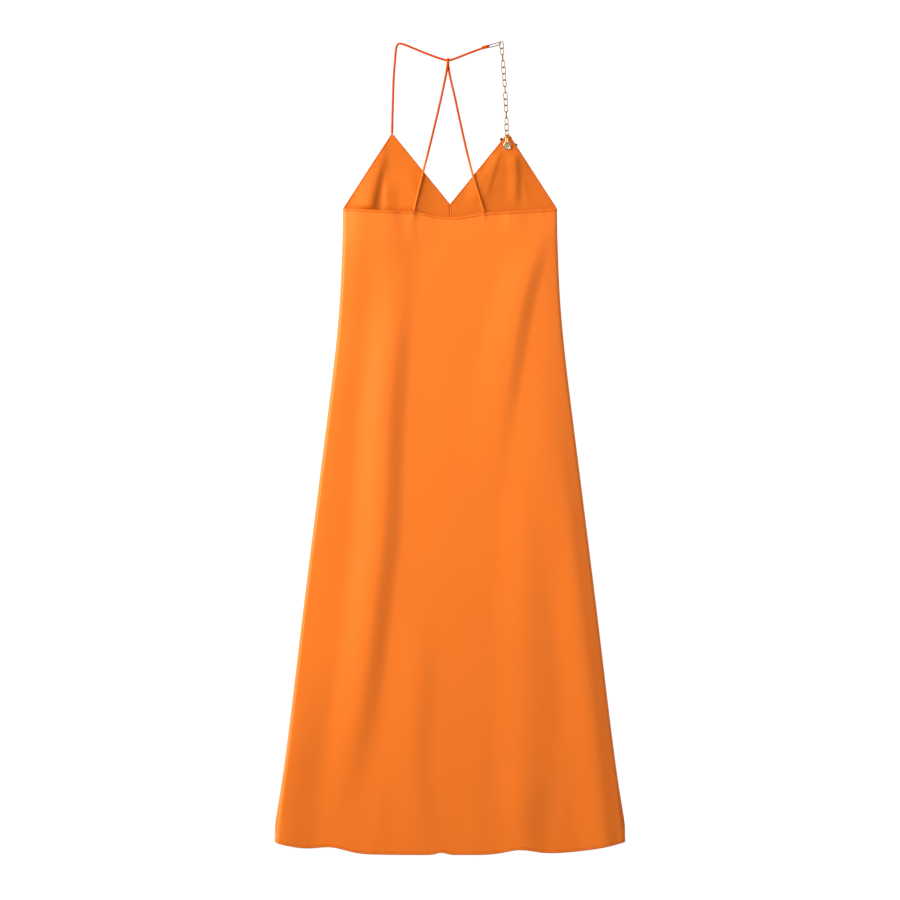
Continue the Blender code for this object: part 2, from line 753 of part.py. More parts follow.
def drum(name, radius, low, high, sides, material):
    """A round solid standing at the ring's place, between two heights."""
    shape = bmesh.new()
    at = Matrix.Translation(in_frame(RING_X, RING_LEVEL, (low + high) / 2))
    bmesh.ops.create_cone(shape, cap_ends=True, segments=sides, radius1=radius * MM, radius2=radius * MM,
                          depth=(high - low) * MM, matrix=at)
    return new_object(name, shape, material)


def tip_plate(material):
    """A small round plate with three sewing holes, inside the ring."""
    low = ORNAMENT_THICKNESS + GAP + CLOTH + GAP
    plate = drum("tip_plate", PLATE_RADIUS, low, low + PLATE_THICKNESS, 24, material)
    high = low + PLATE_THICKNESS
    for k in range(PLATE_HOLES):
        turn = 2 * math.pi * k / PLATE_HOLES + math.pi / 2
        cutter = drum(f"plate_hole_{k + 1}", PLATE_HOLE_RADIUS, low - PLATE_CUT_CLEAR,
                      high + PLATE_CUT_CLEAR, 12, material)
        cutter.location = Vector((math.cos(turn), math.sin(turn), 0)) * (PLATE_HOLE_CIRCLE * MM)
        cutter.hide_render = True
        cutter.display_type = "WIRE"
        cut = plate.modifiers.new(f"hole_{k + 1}", "BOOLEAN")
        cut.operation = "DIFFERENCE"
        cut.object = cutter


def tip_ornament(material):
    """A flat rosette on the outside of the cup; only the ends of its petals show."""
    corners = 72
    shape = bmesh.new()
    verts = []
    for k in range(corners):
        turn = 2 * math.pi * k / corners
        petal = math.cos(ORNAMENT_PETALS * (turn - math.radians(ORNAMENT_TURN)))
        radius = ORNAMENT_RADIUS + ORNAMENT_PETAL * petal
        x = RING_X + radius * math.cos(turn)
        verts.append(shape.verts.new(in_frame(x, RING_LEVEL + radius * math.sin(turn), 0.0)))
    face = shape.faces.new(verts)
    raised = bmesh.ops.extrude_face_region(shape, geom=[face])
    top = [item for item in raised["geom"] if isinstance(item, bmesh.types.BMVert)]
    bmesh.ops.translate(shape, verts=top, vec=(0, 0, ORNAMENT_THICKNESS * MM))
    rims = [edge for edge in shape.edges if all(vertex in top for vertex in edge.verts)]
    bmesh.ops.bevel(shape, geom=rims, offset=ORNAMENT_BEVEL * MM, segments=1, affect="EDGES",
                    profile=0.5, material=-1)
    new_object("tip_ornament", shape, material)


def build():
    clear_scene()
    satin = finish("satin", SATIN, 0.42, 0.0)
    gold = finish("chain_metal", GOLD, 0.25, 1.0)
    silver = finish("ring_metal", SILVER, 0.25, 1.0)
    black = finish("ornament_enamel", BLACK, 0.3, 0.0)
    skirt_front(satin)
    cup("cup_left", -1, satin)
    cup("cup_right", 1, satin)
    back_panel(satin)
    strap("back_strap", BACK_STRAP, satin)
    first_link = chain(gold)
    end_link(first_link, gold)
    shoulder_strap(first_link, satin)
    tip_ring(silver)
    tip_plate(gold)
    tip_ornament(black)


build()
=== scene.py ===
# %% [markdown]
# # A satin slip dress, laid flat with its back uppermost
# The dress lies on a white light table. Its construction is already modelled as plain solids. This
# lesson dresses that frame: thin cloth shells on the solids' forms, round rouleau straps, a chain
# with its sewn-on fittings, rows of stitches, and the satin, metal and enamel of them all.

import math
from collections import namedtuple

import bmesh
import bpy
from mathutils import Matrix, Vector


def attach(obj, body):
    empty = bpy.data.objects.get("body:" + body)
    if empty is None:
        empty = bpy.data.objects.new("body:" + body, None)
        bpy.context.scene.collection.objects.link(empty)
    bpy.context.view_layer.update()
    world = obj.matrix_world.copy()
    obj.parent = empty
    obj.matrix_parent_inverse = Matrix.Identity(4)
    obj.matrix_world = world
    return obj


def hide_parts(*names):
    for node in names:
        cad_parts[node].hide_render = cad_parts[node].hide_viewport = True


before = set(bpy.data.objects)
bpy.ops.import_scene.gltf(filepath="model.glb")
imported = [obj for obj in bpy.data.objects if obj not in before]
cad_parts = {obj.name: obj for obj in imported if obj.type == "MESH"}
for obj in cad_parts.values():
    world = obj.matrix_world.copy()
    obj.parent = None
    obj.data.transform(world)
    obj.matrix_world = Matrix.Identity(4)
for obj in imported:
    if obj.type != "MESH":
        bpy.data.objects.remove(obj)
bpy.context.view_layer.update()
print("solids loaded:", len(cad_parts))

# %% [markdown]
# A dressmaker measures a dress in millimetres, upwards from the lowest point of its hem. We keep
# that habit: x is the distance from the centre line, a level is a height up the dress, and z is the
# height above the floor. One function turns such a place into the frame's metres.

# %% Units and places
MM = 0.001
MIDDLE_LEVEL = 703.4


def place(x, level, z):
    return Vector((x, level - MIDDLE_LEVEL, z)) * MM


print("middle of the dress at level", MIDDLE_LEVEL, "mm")

# %% [markdown]
# Soft shapes need three small helpers. A smoothstep blends from one value to another without a
# corner, and a rounded rise starts steeply, as the side of a pillow does. A smooth curve through a
# short table lets us write an outline as a handful of measured points. We could place more points
# by hand, but a table of few rows is easier to read and to correct.

# %% Smooth steps and smooth curves


def smoothstep(low, high, value):
    share = min(1.0, max(0.0, (value - low) / (high - low)))
    return share * share * (3.0 - 2.0 * share)


def rounded(reach, distance):
    """Rises from 0 to 1 over the reach like a quarter of an ellipse, steep at its start."""
    share = min(1.0, max(0.0, distance / reach))
    return math.sqrt(share * (2.0 - share))


def table_curve(rows, at):
    """Smooth curve through a table of two columns, read at a value of the first."""
    last = len(rows) - 1
    at = min(max(at, rows[0][0]), rows[last][0])
    i = 0
    while i < last - 1 and at > rows[i + 1][0]:
        i += 1

    def slope(k):
        before, after = rows[max(k - 1, 0)], rows[min(k + 1, last)]
        return (after[1] - before[1]) / (after[0] - before[0])

    span = rows[i + 1][0] - rows[i][0]
    t = (at - rows[i][0]) / span
    return (
        rows[i][1] * (2 * t**3 - 3 * t**2 + 1)
        + rows[i + 1][1] * (3 * t**2 - 2 * t**3)
        + slope(i) * span * (t**3 - 2 * t**2 + t)
        + slope(i + 1) * span * (t**3 - t**2)
    )


print("half way up a smooth step:", smoothstep(0, 1, 0.5))

# %% [markdown]
# ## Camera and studio
# The dress is photographed from straight above. A long lens far away keeps its sides parallel, as a
# catalogue picture does. The camera comes first, because every later choice is judged through it.

# %% Camera
CAMERA_HEIGHT = 6.0
VIEW_WIDTH = 1.557
VIEW_CENTRE_LEVEL = 700.0
SENSOR = 36.0
CAMERA_REACH = 50.0

camera_data = bpy.data.cameras.new("camera")
camera_data.sensor_width = SENSOR
camera_data.lens = SENSOR * CAMERA_HEIGHT / VIEW_WIDTH
camera_data.clip_end = CAMERA_REACH
camera = bpy.data.objects.new("camera", camera_data)
camera.location = place(0.0, VIEW_CENTRE_LEVEL, 0.0) + Vector((0, 0, CAMERA_HEIGHT))
bpy.context.scene.collection.objects.link(camera)
bpy.context.scene.camera = camera
print("lens:", round(camera_data.lens, 1), "mm")

# %% [markdown]
# Satin shows its folds by how they turn towards a light, so the key light is low and comes from the
# upper left of the dress. It stands nearer to the straps than to the hem, and the cloth grows
# darker on its way down. A wide, weak fill keeps the flanks that face away from going black.

# %% Lights
KEY_PLACE = Vector((-2.05, 1.05, 1.30))
KEY_AIM = Vector((0.0, 0.12, 0.0))
KEY_SIZE = 2.6
KEY_POWER = 144.0
FILL_PLACE = Vector((1.2, 0.6, 2.6))
FILL_SIZE = 2.6
FILL_POWER = 21.0
STUDIO_COLOUR = (1.0, 0.98, 0.96, 1.0)
STUDIO_STRENGTH = 0.18


def area_light(name, where, aim, size, power):
    """A square lamp that looks at its aim."""
    data = bpy.data.lights.new(name, "AREA")
    data.size = size
    data.energy = power
    lamp = bpy.data.objects.new(name, data)
    lamp.location = where
    lamp.rotation_euler = (aim - where).to_track_quat("-Z", "Y").to_euler()
    bpy.context.scene.collection.objects.link(lamp)


area_light("key_light", KEY_PLACE, KEY_AIM, KEY_SIZE, KEY_POWER)
area_light("fill_light", FILL_PLACE, KEY_AIM, FILL_SIZE, FILL_POWER)

world = bpy.data.worlds.new("studio")
world.use_nodes = True
world.node_tree.nodes["Background"].inputs["Color"].default_value = STUDIO_COLOUR
world.node_tree.nodes["Background"].inputs["Strength"].default_value = STUDIO_STRENGTH
bpy.context.scene.world = world
bpy.context.scene.view_settings.view_transform = "Standard"
print("lights:", KEY_POWER, "and", FILL_POWER, "watts")

# %% [markdown]
# The floor is a white light table. Nearly all its light is its own, so it is evenly white from the
# straps down to the hem, thin straps don't drown in a glare, and the dress throws almost no shadow.

# %% Floor
FLOOR_SIZE = 12.0
FLOOR_DROP = 0.0002
FLOOR_WHITE = (1.0, 1.0, 1.0, 1.0)
FLOOR_GREY = (0.12, 0.12, 0.12, 1.0)
FLOOR_GLOW = 0.97

floor_shape = bmesh.new()
bmesh.ops.create_grid(floor_shape, x_segments=1, y_segments=1, size=FLOOR_SIZE / 2)
floor_mesh = bpy.data.meshes.new("floor")
floor_shape.to_mesh(floor_mesh)
floor_shape.free()
floor = bpy.data.objects.new("floor", floor_mesh)
floor.location.z = -FLOOR_DROP
bpy.context.scene.collection.objects.link(floor)
floor_paint = bpy.data.materials.new("floor_white")
floor_paint.use_nodes = True
floor_shader = floor_paint.node_tree.nodes["Principled BSDF"]
floor_shader.inputs["Base Color"].default_value = FLOOR_GREY
floor_shader.inputs["Roughness"].default_value = 0.9
floor_shader.inputs["Emission Color"].default_value = FLOOR_WHITE
floor_shader.inputs["Emission Strength"].default_value = FLOOR_GLOW
floor_mesh.materials.append(floor_paint)
print("floor:", FLOOR_SIZE, "m")

# %% [markdown]
# ## Materials
# An effect that several materials share is a node group, built once. The first is a satin weave:
# floats of thread so fine that they only soften the gloss, slow changes of tone where the cloth was
# handled, and long faint streaks along the warp. An image of cloth could do the same, but nodes
# stay sharp at any distance and need no seams. The group's outputs are a colour, a roughness and a
# normal, and the shader itself stays in each material.

# %% A helper for node groups


def new_group(name, inputs, outputs):
    """An empty shader group with named float, colour or vector sockets."""
    group = bpy.data.node_groups.new(name, "ShaderNodeTree")
    for socket, kind, value in inputs:
        made = group.interface.new_socket(socket, in_out="INPUT", socket_type=kind)
        if value is not None:
            made.default_value = value
    for socket, kind in outputs:
        group.interface.new_socket(socket, in_out="OUTPUT", socket_type=kind)
    return group, group.nodes.new("NodeGroupInput"), group.nodes.new("NodeGroupOutput")


def add_node(tree, kind, **values):
    """A node with its properties set. Names that start with in_ set an input by its label."""
    node = tree.nodes.new(kind)
    for key, value in values.items():
        if key.startswith("in_"):
            node.inputs[key[3:].replace("_", " ")].default_value = value
        else:
            setattr(node, key, value)
    return node


FLOAT, COLOUR, VECTOR = "NodeSocketFloat", "NodeSocketColor", "NodeSocketVector"
print("socket kinds:", FLOAT, COLOUR, VECTOR)

# %% Group: satin weave
STREAK_SWING = 0.10


def satin_weave():
    """Slow tones, faint streaks along the warp, and fine floats of thread."""
    group, given, result = new_group(
        "satin_weave",
        [("Colour", COLOUR, None), ("Deep Colour", COLOUR, None), ("Roughness", FLOAT, 0.4),
         ("Tone", FLOAT, 0.5), ("Weave", FLOAT, 0.1)],
        [("Colour", COLOUR), ("Roughness", FLOAT), ("Normal", VECTOR)],
    )
    link = group.links.new
    where = add_node(group, "ShaderNodeTexCoord")
    slow = add_node(group, "ShaderNodeTexNoise", in_Scale=7.0, in_Detail=3.0, in_Roughness=0.45)
    link(where.outputs["Object"], slow.inputs["Vector"])
    stretch = add_node(group, "ShaderNodeMapping", in_Scale=(260.0, 9.0, 60.0))
    link(where.outputs["Object"], stretch.inputs["Vector"])
    streak = add_node(group, "ShaderNodeTexNoise", in_Scale=1.0, in_Detail=2.0)
    link(stretch.outputs["Vector"], streak.inputs["Vector"])

    amount = add_node(group, "ShaderNodeMath", operation="MULTIPLY")
    link(slow.outputs["Fac"], amount.inputs[0])
    link(given.outputs["Tone"], amount.inputs[1])
    tone = add_node(group, "ShaderNodeMix", data_type="RGBA")
    link(amount.outputs[0], tone.inputs["Factor"])
    link(given.outputs["Colour"], tone.inputs["A"])
    link(given.outputs["Deep Colour"], tone.inputs["B"])
    link(tone.outputs["Result"], result.inputs["Colour"])

    centred = add_node(group, "ShaderNodeMath", operation="MULTIPLY_ADD")
    centred.inputs[1].default_value = STREAK_SWING
    centred.inputs[2].default_value = -STREAK_SWING / 2
    link(streak.outputs["Fac"], centred.inputs[0])
    rough = add_node(group, "ShaderNodeMath", operation="ADD")
    link(centred.outputs[0], rough.inputs[0])
    link(given.outputs["Roughness"], rough.inputs[1])
    link(rough.outputs[0], result.inputs["Roughness"])

    floats = add_node(group, "ShaderNodeTexWave", wave_type="BANDS", bands_direction="DIAGONAL",
                      in_Scale=620.0, in_Distortion=1.2, in_Detail=1.0)
    link(where.outputs["Object"], floats.inputs["Vector"])
    height = add_node(group, "ShaderNodeMath", operation="ADD")
    link(floats.outputs["Fac"], height.inputs[0])
    link(streak.outputs["Fac"], height.inputs[1])
    bump = add_node(group, "ShaderNodeBump", in_Distance=0.00004)
    link(given.outputs["Weave"], bump.inputs["Strength"])
    link(height.outputs[0], bump.inputs["Height"])
    link(bump.outputs["Normal"], result.inputs["Normal"])
    return group


weave_group = satin_weave()
print("satin weave nodes:", len(weave_group.nodes))

# %% [markdown]
# Every satin piece uses that group with its own colours. The outside of the cloth is its glossy
# face. The inside, which shows in the cups, is a little duller, and its colour is deeper: partly
# its own, and partly painted shade, since the cups lie nearest the key light. The straps are cut on
# the bias; their colour is the most saturated of all, the deep end of the painted light along
# them, and the sewing thread is the dullest.

# %% Satin materials
SATIN_FACE = (0.91, 0.190, 0.015, 1.0)
SATIN_FACE_DEEP = (0.85, 0.170, 0.014, 1.0)
# The inside's two tones are its own duller colour deepened by painted shade.
SATIN_BACK_WITH_SHADE = (0.73, 0.154, 0.012, 1.0)
SATIN_BACK_DEEP = (0.66, 0.130, 0.010, 1.0)
SATIN_STRAP = (0.66, 0.075, 0.0005, 1.0)
SATIN_STRAP_DEEP = (0.59, 0.056, 0.0005, 1.0)
# The rims' colour is painted shade, for the roll of a turned edge and the dip of its stitches.
SATIN_RIM_SHADE = (0.58, 0.094, 0.0015, 1.0)
SATIN_SHEEN = (1.0, 0.60, 0.34, 1.0)
SHEEN_ROUGHNESS = 0.35
SATIN_GLOSS = (1.0, 0.80, 0.50, 1.0)
INSIDE_GLOSS = (1.0, 0.66, 0.36, 1.0)
STRAP_GLOSS = (1.0, 0.30, 0.03, 1.0)


def satin(name, colour, deep, roughness, weave, gloss=SATIN_GLOSS, shine=0.38, sheen=0.12):
    """A cloth of the satin weave, with the tint and the strength of its gloss and its sheen."""
    material = bpy.data.materials.new(name)
    material.use_nodes = True
    tree = material.node_tree
    shader = tree.nodes["Principled BSDF"]
    cloth = add_node(tree, "ShaderNodeGroup", node_tree=weave_group)
    cloth.inputs["Colour"].default_value = colour
    cloth.inputs["Deep Colour"].default_value = deep
    cloth.inputs["Roughness"].default_value = roughness
    cloth.inputs["Weave"].default_value = weave
    tree.links.new(cloth.outputs["Colour"], shader.inputs["Base Color"])
    tree.links.new(cloth.outputs["Roughness"], shader.inputs["Roughness"])
    tree.links.new(cloth.outputs["Normal"], shader.inputs["Normal"])
    shader.inputs["Specular IOR Level"].default_value = shine
    shader.inputs["Specular Tint"].default_value = gloss
    shader.inputs["Sheen Weight"].default_value = sheen
    shader.inputs["Sheen Roughness"].default_value = SHEEN_ROUGHNESS
    shader.inputs["Sheen Tint"].default_value = SATIN_SHEEN
    return material


satin_face = satin("satin_face", SATIN_FACE, SATIN_FACE_DEEP, 0.44, 0.16)
satin_inside = satin("satin_inside", SATIN_BACK_WITH_SHADE, SATIN_BACK_DEEP, 0.52, 0.20, INSIDE_GLOSS, 0.26)
satin_strap = satin("satin_bias", SATIN_STRAP, SATIN_STRAP_DEEP, 0.40, 0.16, STRAP_GLOSS, 0.05, 0.0)
sewing_thread = satin("sewing_thread", SATIN_BACK_DEEP, SATIN_STRAP_DEEP, 0.55, 0.20,
                      STRAP_GLOSS, 0.2)
print("satins:", satin_face.name, satin_inside.name, satin_strap.name, sewing_thread.name)

# %% [markdown]
# Where a panel's rim is turned and stitched, the cloth is drawn in, and its colour is made deeper
# there: that is painted shade, for the shade in the roll of the rim and in the dip along the
# stitches. That follows the edge of each piece, so the pieces will carry an attribute, a number
# between 0 and 1 at each vertex, and the material reads it to blend its colour to the painted shade
# of a rim. A painted image would need the panels unwrapped first.

# %% Painted shade along the rims and the stitches
RIM_SHADE_ATTRIBUTE = "painted_rim_shade"


def paint_rim_shade(material):
    """Blend the cloth's colour to the painted shade of its rims by the piece's attribute."""
    tree = material.node_tree
    cloth = next(node for node in tree.nodes if node.type == "GROUP")
    share = add_node(tree, "ShaderNodeAttribute", attribute_name=RIM_SHADE_ATTRIBUTE)
    blend = add_node(tree, "ShaderNodeMix", data_type="RGBA")
    tree.links.new(share.outputs["Fac"], blend.inputs["Factor"])
    tree.links.new(cloth.outputs["Colour"], blend.inputs["A"])
    blend.inputs["B"].default_value = SATIN_RIM_SHADE
    tree.links.new(blend.outputs["Result"], tree.nodes["Principled BSDF"].inputs["Base Color"])


paint_rim_shade(satin_face)
paint_rim_shade(satin_inside)
print("rim colour:", SATIN_RIM_SHADE[:3])

# %% [markdown]
# A strap is thin, so the light it catches from what it lies on changes its look. That light is
# painted into its colour: over the cups it has the colour of the panels, and over the white floor
# it is deeper. One blend up the dress, between two levels, gives both.

# %% Painted light along the straps
STRAP_PALE_LEVEL = 1180.0
STRAP_DEEP_LEVEL = 1225.0


def paint_light_along_strap(material):
    """Painted light: blend the strap's colour from the panels' to its own, up the dress."""
    tree = material.node_tree
    cloth = next(node for node in tree.nodes if node.type == "GROUP")
    where = add_node(tree, "ShaderNodeTexCoord")
    parts = add_node(tree, "ShaderNodeSeparateXYZ")
    tree.links.new(where.outputs["Object"], parts.inputs["Vector"])
    share = add_node(tree, "ShaderNodeMapRange", interpolation_type="SMOOTHSTEP")
    share.inputs["From Min"].default_value = (STRAP_PALE_LEVEL - MIDDLE_LEVEL) * MM
    share.inputs["From Max"].default_value = (STRAP_DEEP_LEVEL - MIDDLE_LEVEL) * MM
    tree.links.new(parts.outputs["Y"], share.inputs["Value"])
    for socket, pale, deep in (("Colour", SATIN_FACE, SATIN_STRAP),
                               ("Deep Colour", SATIN_FACE_DEEP, SATIN_STRAP_DEEP)):
        blend = add_node(tree, "ShaderNodeMix", data_type="RGBA")
        tree.links.new(share.outputs["Result"], blend.inputs["Factor"])
        blend.inputs["A"].default_value = pale
        blend.inputs["B"].default_value = deep
        tree.links.new(blend.outputs["Result"], cloth.inputs[socket])


paint_light_along_strap(satin_strap)
print("straps deepen between levels", STRAP_PALE_LEVEL, "and", STRAP_DEEP_LEVEL)

# %% [markdown]
# The chain, the ring and the plate are polished metal that has been handled. One group gives them
# fine scratches, a slightly uneven gloss, and a darker tone in small patches where they tarnish.

# %% Group: handled metal
TARNISH_START = 0.52
TARNISH_FULL = 0.74
PATCH_DULLING = 0.10


def handled_metal():
    """Patches of tarnish, an uneven gloss and fine scratches."""
    group, given, result = new_group(
        "handled_metal",
        [("Colour", COLOUR, None), ("Tarnish", COLOUR, None), ("Roughness", FLOAT, 0.2),
         ("Scratches", FLOAT, 0.1)],
        [("Colour", COLOUR), ("Roughness", FLOAT), ("Normal", VECTOR)],
    )
    link = group.links.new
    where = add_node(group, "ShaderNodeTexCoord")
    patch = add_node(group, "ShaderNodeTexNoise", in_Scale=420.0, in_Detail=3.0)
    link(where.outputs["Object"], patch.inputs["Vector"])
    spread = add_node(group, "ShaderNodeMapRange")
    spread.inputs["From Min"].default_value = TARNISH_START
    spread.inputs["From Max"].default_value = TARNISH_FULL
    link(patch.outputs["Fac"], spread.inputs["Value"])
    tone = add_node(group, "ShaderNodeMix", data_type="RGBA")
    link(spread.outputs["Result"], tone.inputs["Factor"])
    link(given.outputs["Colour"], tone.inputs["A"])
    link(given.outputs["Tarnish"], tone.inputs["B"])
    link(tone.outputs["Result"], result.inputs["Colour"])

    rough = add_node(group, "ShaderNodeMath", operation="MULTIPLY_ADD")
    rough.inputs[1].default_value = PATCH_DULLING
    link(patch.outputs["Fac"], rough.inputs[0])
    link(given.outputs["Roughness"], rough.inputs[2])
    link(rough.outputs[0], result.inputs["Roughness"])

    scratch = add_node(group, "ShaderNodeTexNoise", in_Scale=2600.0, in_Detail=2.0)
    link(where.outputs["Object"], scratch.inputs["Vector"])
    bump = add_node(group, "ShaderNodeBump", in_Distance=0.00003)
    link(given.outputs["Scratches"], bump.inputs["Strength"])
    link(scratch.outputs["Fac"], bump.inputs["Height"])
    link(bump.outputs["Normal"], result.inputs["Normal"])
    return group


metal_group = handled_metal()
print("handled metal nodes:", len(metal_group.nodes))

# %% [markdown]
# The links are of a brownish gold, darker than polished gold: that darkness is a painted
# reflection, for the dark surroundings that thin polished wires mirror. The last one is pale gold,
# a painted highlight for the studio light it reflects, and the plate beneath it has a pale plating.
# The ring is silver. The ornament's black enamel is no metal, and it is dull enough to stay black
# beside the white floor.

# %% Metal and enamel materials
# The gold is darkened by a painted reflection of dark surroundings.
GOLD_PAINTED_DARK = (0.26, 0.145, 0.04, 1.0)
GOLD_TARNISH = (0.09, 0.042, 0.012, 1.0)
PALE_GOLD_AND_HIGHLIGHT = (0.86, 0.66, 0.34, 1.0)
PALE_GOLD_TARNISH = (0.50, 0.33, 0.14, 1.0)
SILVER = (0.74, 0.71, 0.67, 1.0)
SILVER_TARNISH = (0.24, 0.20, 0.16, 1.0)
ENAMEL = (0.006, 0.005, 0.006, 1.0)
ENAMEL_WORN = (0.014, 0.012, 0.012, 1.0)
ENAMEL_SHINE = 0.22


def polished(name, colour, tarnish, roughness, metallic=1.0):
    """A hard finish of the handled metal group."""
    material = bpy.data.materials.new(name)
    material.use_nodes = True
    tree = material.node_tree
    shader = tree.nodes["Principled BSDF"]
    metal = add_node(tree, "ShaderNodeGroup", node_tree=metal_group)
    metal.inputs["Colour"].default_value = colour
    metal.inputs["Tarnish"].default_value = tarnish
    metal.inputs["Roughness"].default_value = roughness
    tree.links.new(metal.outputs["Colour"], shader.inputs["Base Color"])
    tree.links.new(metal.outputs["Roughness"], shader.inputs["Roughness"])
    tree.links.new(metal.outputs["Normal"], shader.inputs["Normal"])
    shader.inputs["Metallic"].default_value = metallic
    return material


gold = polished("polished_gold_painted_dark", GOLD_PAINTED_DARK, GOLD_TARNISH, 0.14)
silver = polished("polished_silver", SILVER, SILVER_TARNISH, 0.12)
pale_gold_and_highlight = polished("pale_gold_and_painted_highlight", PALE_GOLD_AND_HIGHLIGHT, PALE_GOLD_TARNISH, 0.22)
enamel = polished("black_enamel", ENAMEL, ENAMEL_WORN, 0.20, metallic=0.0)
enamel.node_tree.nodes["Principled BSDF"].inputs["Specular IOR Level"].default_value = ENAMEL_SHINE
print("metals and enamel:", gold.name, silver.name, pale_gold_and_highlight.name, enamel.name)

# %% [markdown]
# ## The skirt's outline
# The skirt is cut in two A-line panels, front and back, that meet at the side seams. The table
# gives half the width at a few levels. The hem rises towards the side seams and in three shallow
# waves, where the cloth's deepest folds run out over its edge.

# %% Outline of the skirt
SIDE_TOP_LEVEL = 1118.0
SIDE_TOP_HALF = 185.0
BUST_SEAM_LEVEL = 1070.0

SideRow = namedtuple("SideRow", "level half_width")
SIDE = (
    SideRow(0.0, 303.0),
    SideRow(34.0, 302.0),
    SideRow(233.0, 276.8),
    SideRow(440.0, 251.8),
    SideRow(648.0, 225.8),
    SideRow(856.0, 200.0),
    SideRow(960.0, 190.5),
    SideRow(1063.0, 186.0),
    SideRow(SIDE_TOP_LEVEL, SIDE_TOP_HALF),
)

HEM_CORNER_RISE = 22.0
HEM_CORNER_POWER = 4
HemWave = namedtuple("HemWave", "x half_width rise")
HEM_WAVES = (
    HemWave(-205.0, 34.0, 8.5),
    HemWave(-15.0, 11.0, 4.0),
    HemWave(121.0, 34.0, 8.0),
)


def half_width(level):
    return table_curve(SIDE, level)


def hem_level(x):
    """How far the hem has risen above its lowest point."""
    rise = HEM_CORNER_RISE * (abs(x) / SIDE[0].half_width) ** HEM_CORNER_POWER
    for wave in HEM_WAVES:
        rise += wave.rise * math.exp(-(((x - wave.x) / wave.half_width) ** 2))
    return rise


print("skirt:", 2 * half_width(0), "mm wide at the hem")

# %% [markdown]
# ## Folds
# Lying satin falls into long soft folds. Each one here is a ridge: it rises gently on its left and
# drops in a steeper flank on its right, where it turns from the light. The track follows the middle
# of that flank down the dress. A negative width turns the fold round, gentle on its right. The
# folds are those of the solid, a few of them softened a little, and the creases after them are
# shallower forms that only a thin cloth shows.

# %% Folds of the back
Fold = namedtuple("Fold", "height gentle steep fade_low fade_high track")
TrackRow = namedtuple("TrackRow", "level x")
BACK_FOLDS = (
    Fold(7.4, 58.0, 37.0, 380.0, 330.0, (
        TrackRow(20.0, -190.0), TrackRow(95.0, -171.0), TrackRow(250.0, -137.0),
        TrackRow(458.0, -111.0), TrackRow(562.0, -99.0), TrackRow(769.0, -90.0),
        TrackRow(1043.0, -67.0), TrackRow(1112.0, -61.0),
    )),
    Fold(5.4, 62.0, 28.0, 360.0, 110.0, (
        TrackRow(580.0, 96.0), TrackRow(717.0, 100.0), TrackRow(856.0, 119.0),
        TrackRow(960.0, 138.0), TrackRow(1046.0, 161.0), TrackRow(1090.0, 174.0),
    )),
    Fold(3.4, 60.0, 66.0, 130.0, 300.0, (
        TrackRow(0.0, 154.0), TrackRow(60.0, 156.0), TrackRow(250.0, 166.0),
        TrackRow(406.0, 164.0), TrackRow(613.0, 174.0), TrackRow(717.0, 180.0),
        TrackRow(960.0, 188.0),
    )),
    Fold(2.5, 60.0, 38.0, 150.0, 160.0, (
        TrackRow(-40.0, -15.0), TrackRow(34.0, -24.0), TrackRow(146.0, -46.0),
        TrackRow(302.0, -36.0), TrackRow(450.0, -38.0),
    )),
    Fold(2.0, 40.0, 44.0, 260.0, 160.0, (
        TrackRow(380.0, -206.0), TrackRow(717.0, -181.0), TrackRow(890.0, -152.0),
        TrackRow(1110.0, -154.0),
    )),
    Fold(6.8, 26.0, 72.0, 60.0, 230.0, (
        TrackRow(-60.0, -262.0), TrackRow(95.0, -252.0), TrackRow(198.0, -238.0),
        TrackRow(390.0, -222.0),
    )),
    Fold(2.7, 44.0, 42.0, 40.0, 120.0, (
        TrackRow(-40.0, 144.0), TrackRow(50.0, 152.0), TrackRow(180.0, 146.0),
    )),
    Fold(4.2, 60.0, 30.0, 40.0, 260.0, (
        TrackRow(-50.0, 290.0), TrackRow(233.0, 262.0), TrackRow(440.0, 237.0),
        TrackRow(648.0, 211.0), TrackRow(820.0, 190.0),
    )),
)
BACK_CREASES = (
    Fold(0.5, 26.0, 28.0, 60.0, 60.0, (
        TrackRow(-20.0, 210.0), TrackRow(90.0, 214.0), TrackRow(230.0, 206.0),
    )),
    Fold(0.5, 30.0, 26.0, 60.0, 60.0, (
        TrackRow(-20.0, 62.0), TrackRow(80.0, 58.0), TrackRow(210.0, 66.0),
    )),
    Fold(0.5, 24.0, 26.0, 50.0, 50.0, (
        TrackRow(-20.0, -118.0), TrackRow(70.0, -108.0), TrackRow(180.0, -92.0),
    )),
    Fold(0.25, 20.0, 20.0, 60.0, 60.0, (
        TrackRow(640.0, -6.0), TrackRow(760.0, 4.0), TrackRow(900.0, 2.0),
    )),
    Fold(0.5, 12.0, 9.0, 26.0, 26.0, (
        TrackRow(1020.0, -52.0), TrackRow(1070.0, -57.0), TrackRow(1118.0, -60.5),
    )),
)


def fold_height(fold, x, level):
    """What one fold adds to the height of the cloth at a place."""
    side = 1.0 if fold.steep > 0 else -1.0
    steep, gentle = abs(fold.steep), abs(fold.gentle)
    low, high = fold.track[0].level, fold.track[-1].level
    ends = smoothstep(low, low + fold.fade_low, level)
    ends *= 1.0 - smoothstep(high - fold.fade_high, high, level)
    if ends == 0.0:
        return 0.0
    across = side * (x - table_curve(fold.track, level))
    rise = smoothstep(-steep / 2 - gentle, -steep / 2, across)
    return fold.height * ends * rise * (1.0 - smoothstep(-steep / 2, steep / 2, across))


print("folds and creases of the back:", len(BACK_FOLDS) + len(BACK_CREASES))

# %% [markdown]
# The back lies on the front with a little air between them, so it swells like a thin pillow and
# rounds down to the side seams. Over the folds of the cups its top edge is lifted, and it bulges
# where the tails of the back strap are sewn under it. The functions below add these up to the
# height of its outer face. The turned bands of its edges come later.

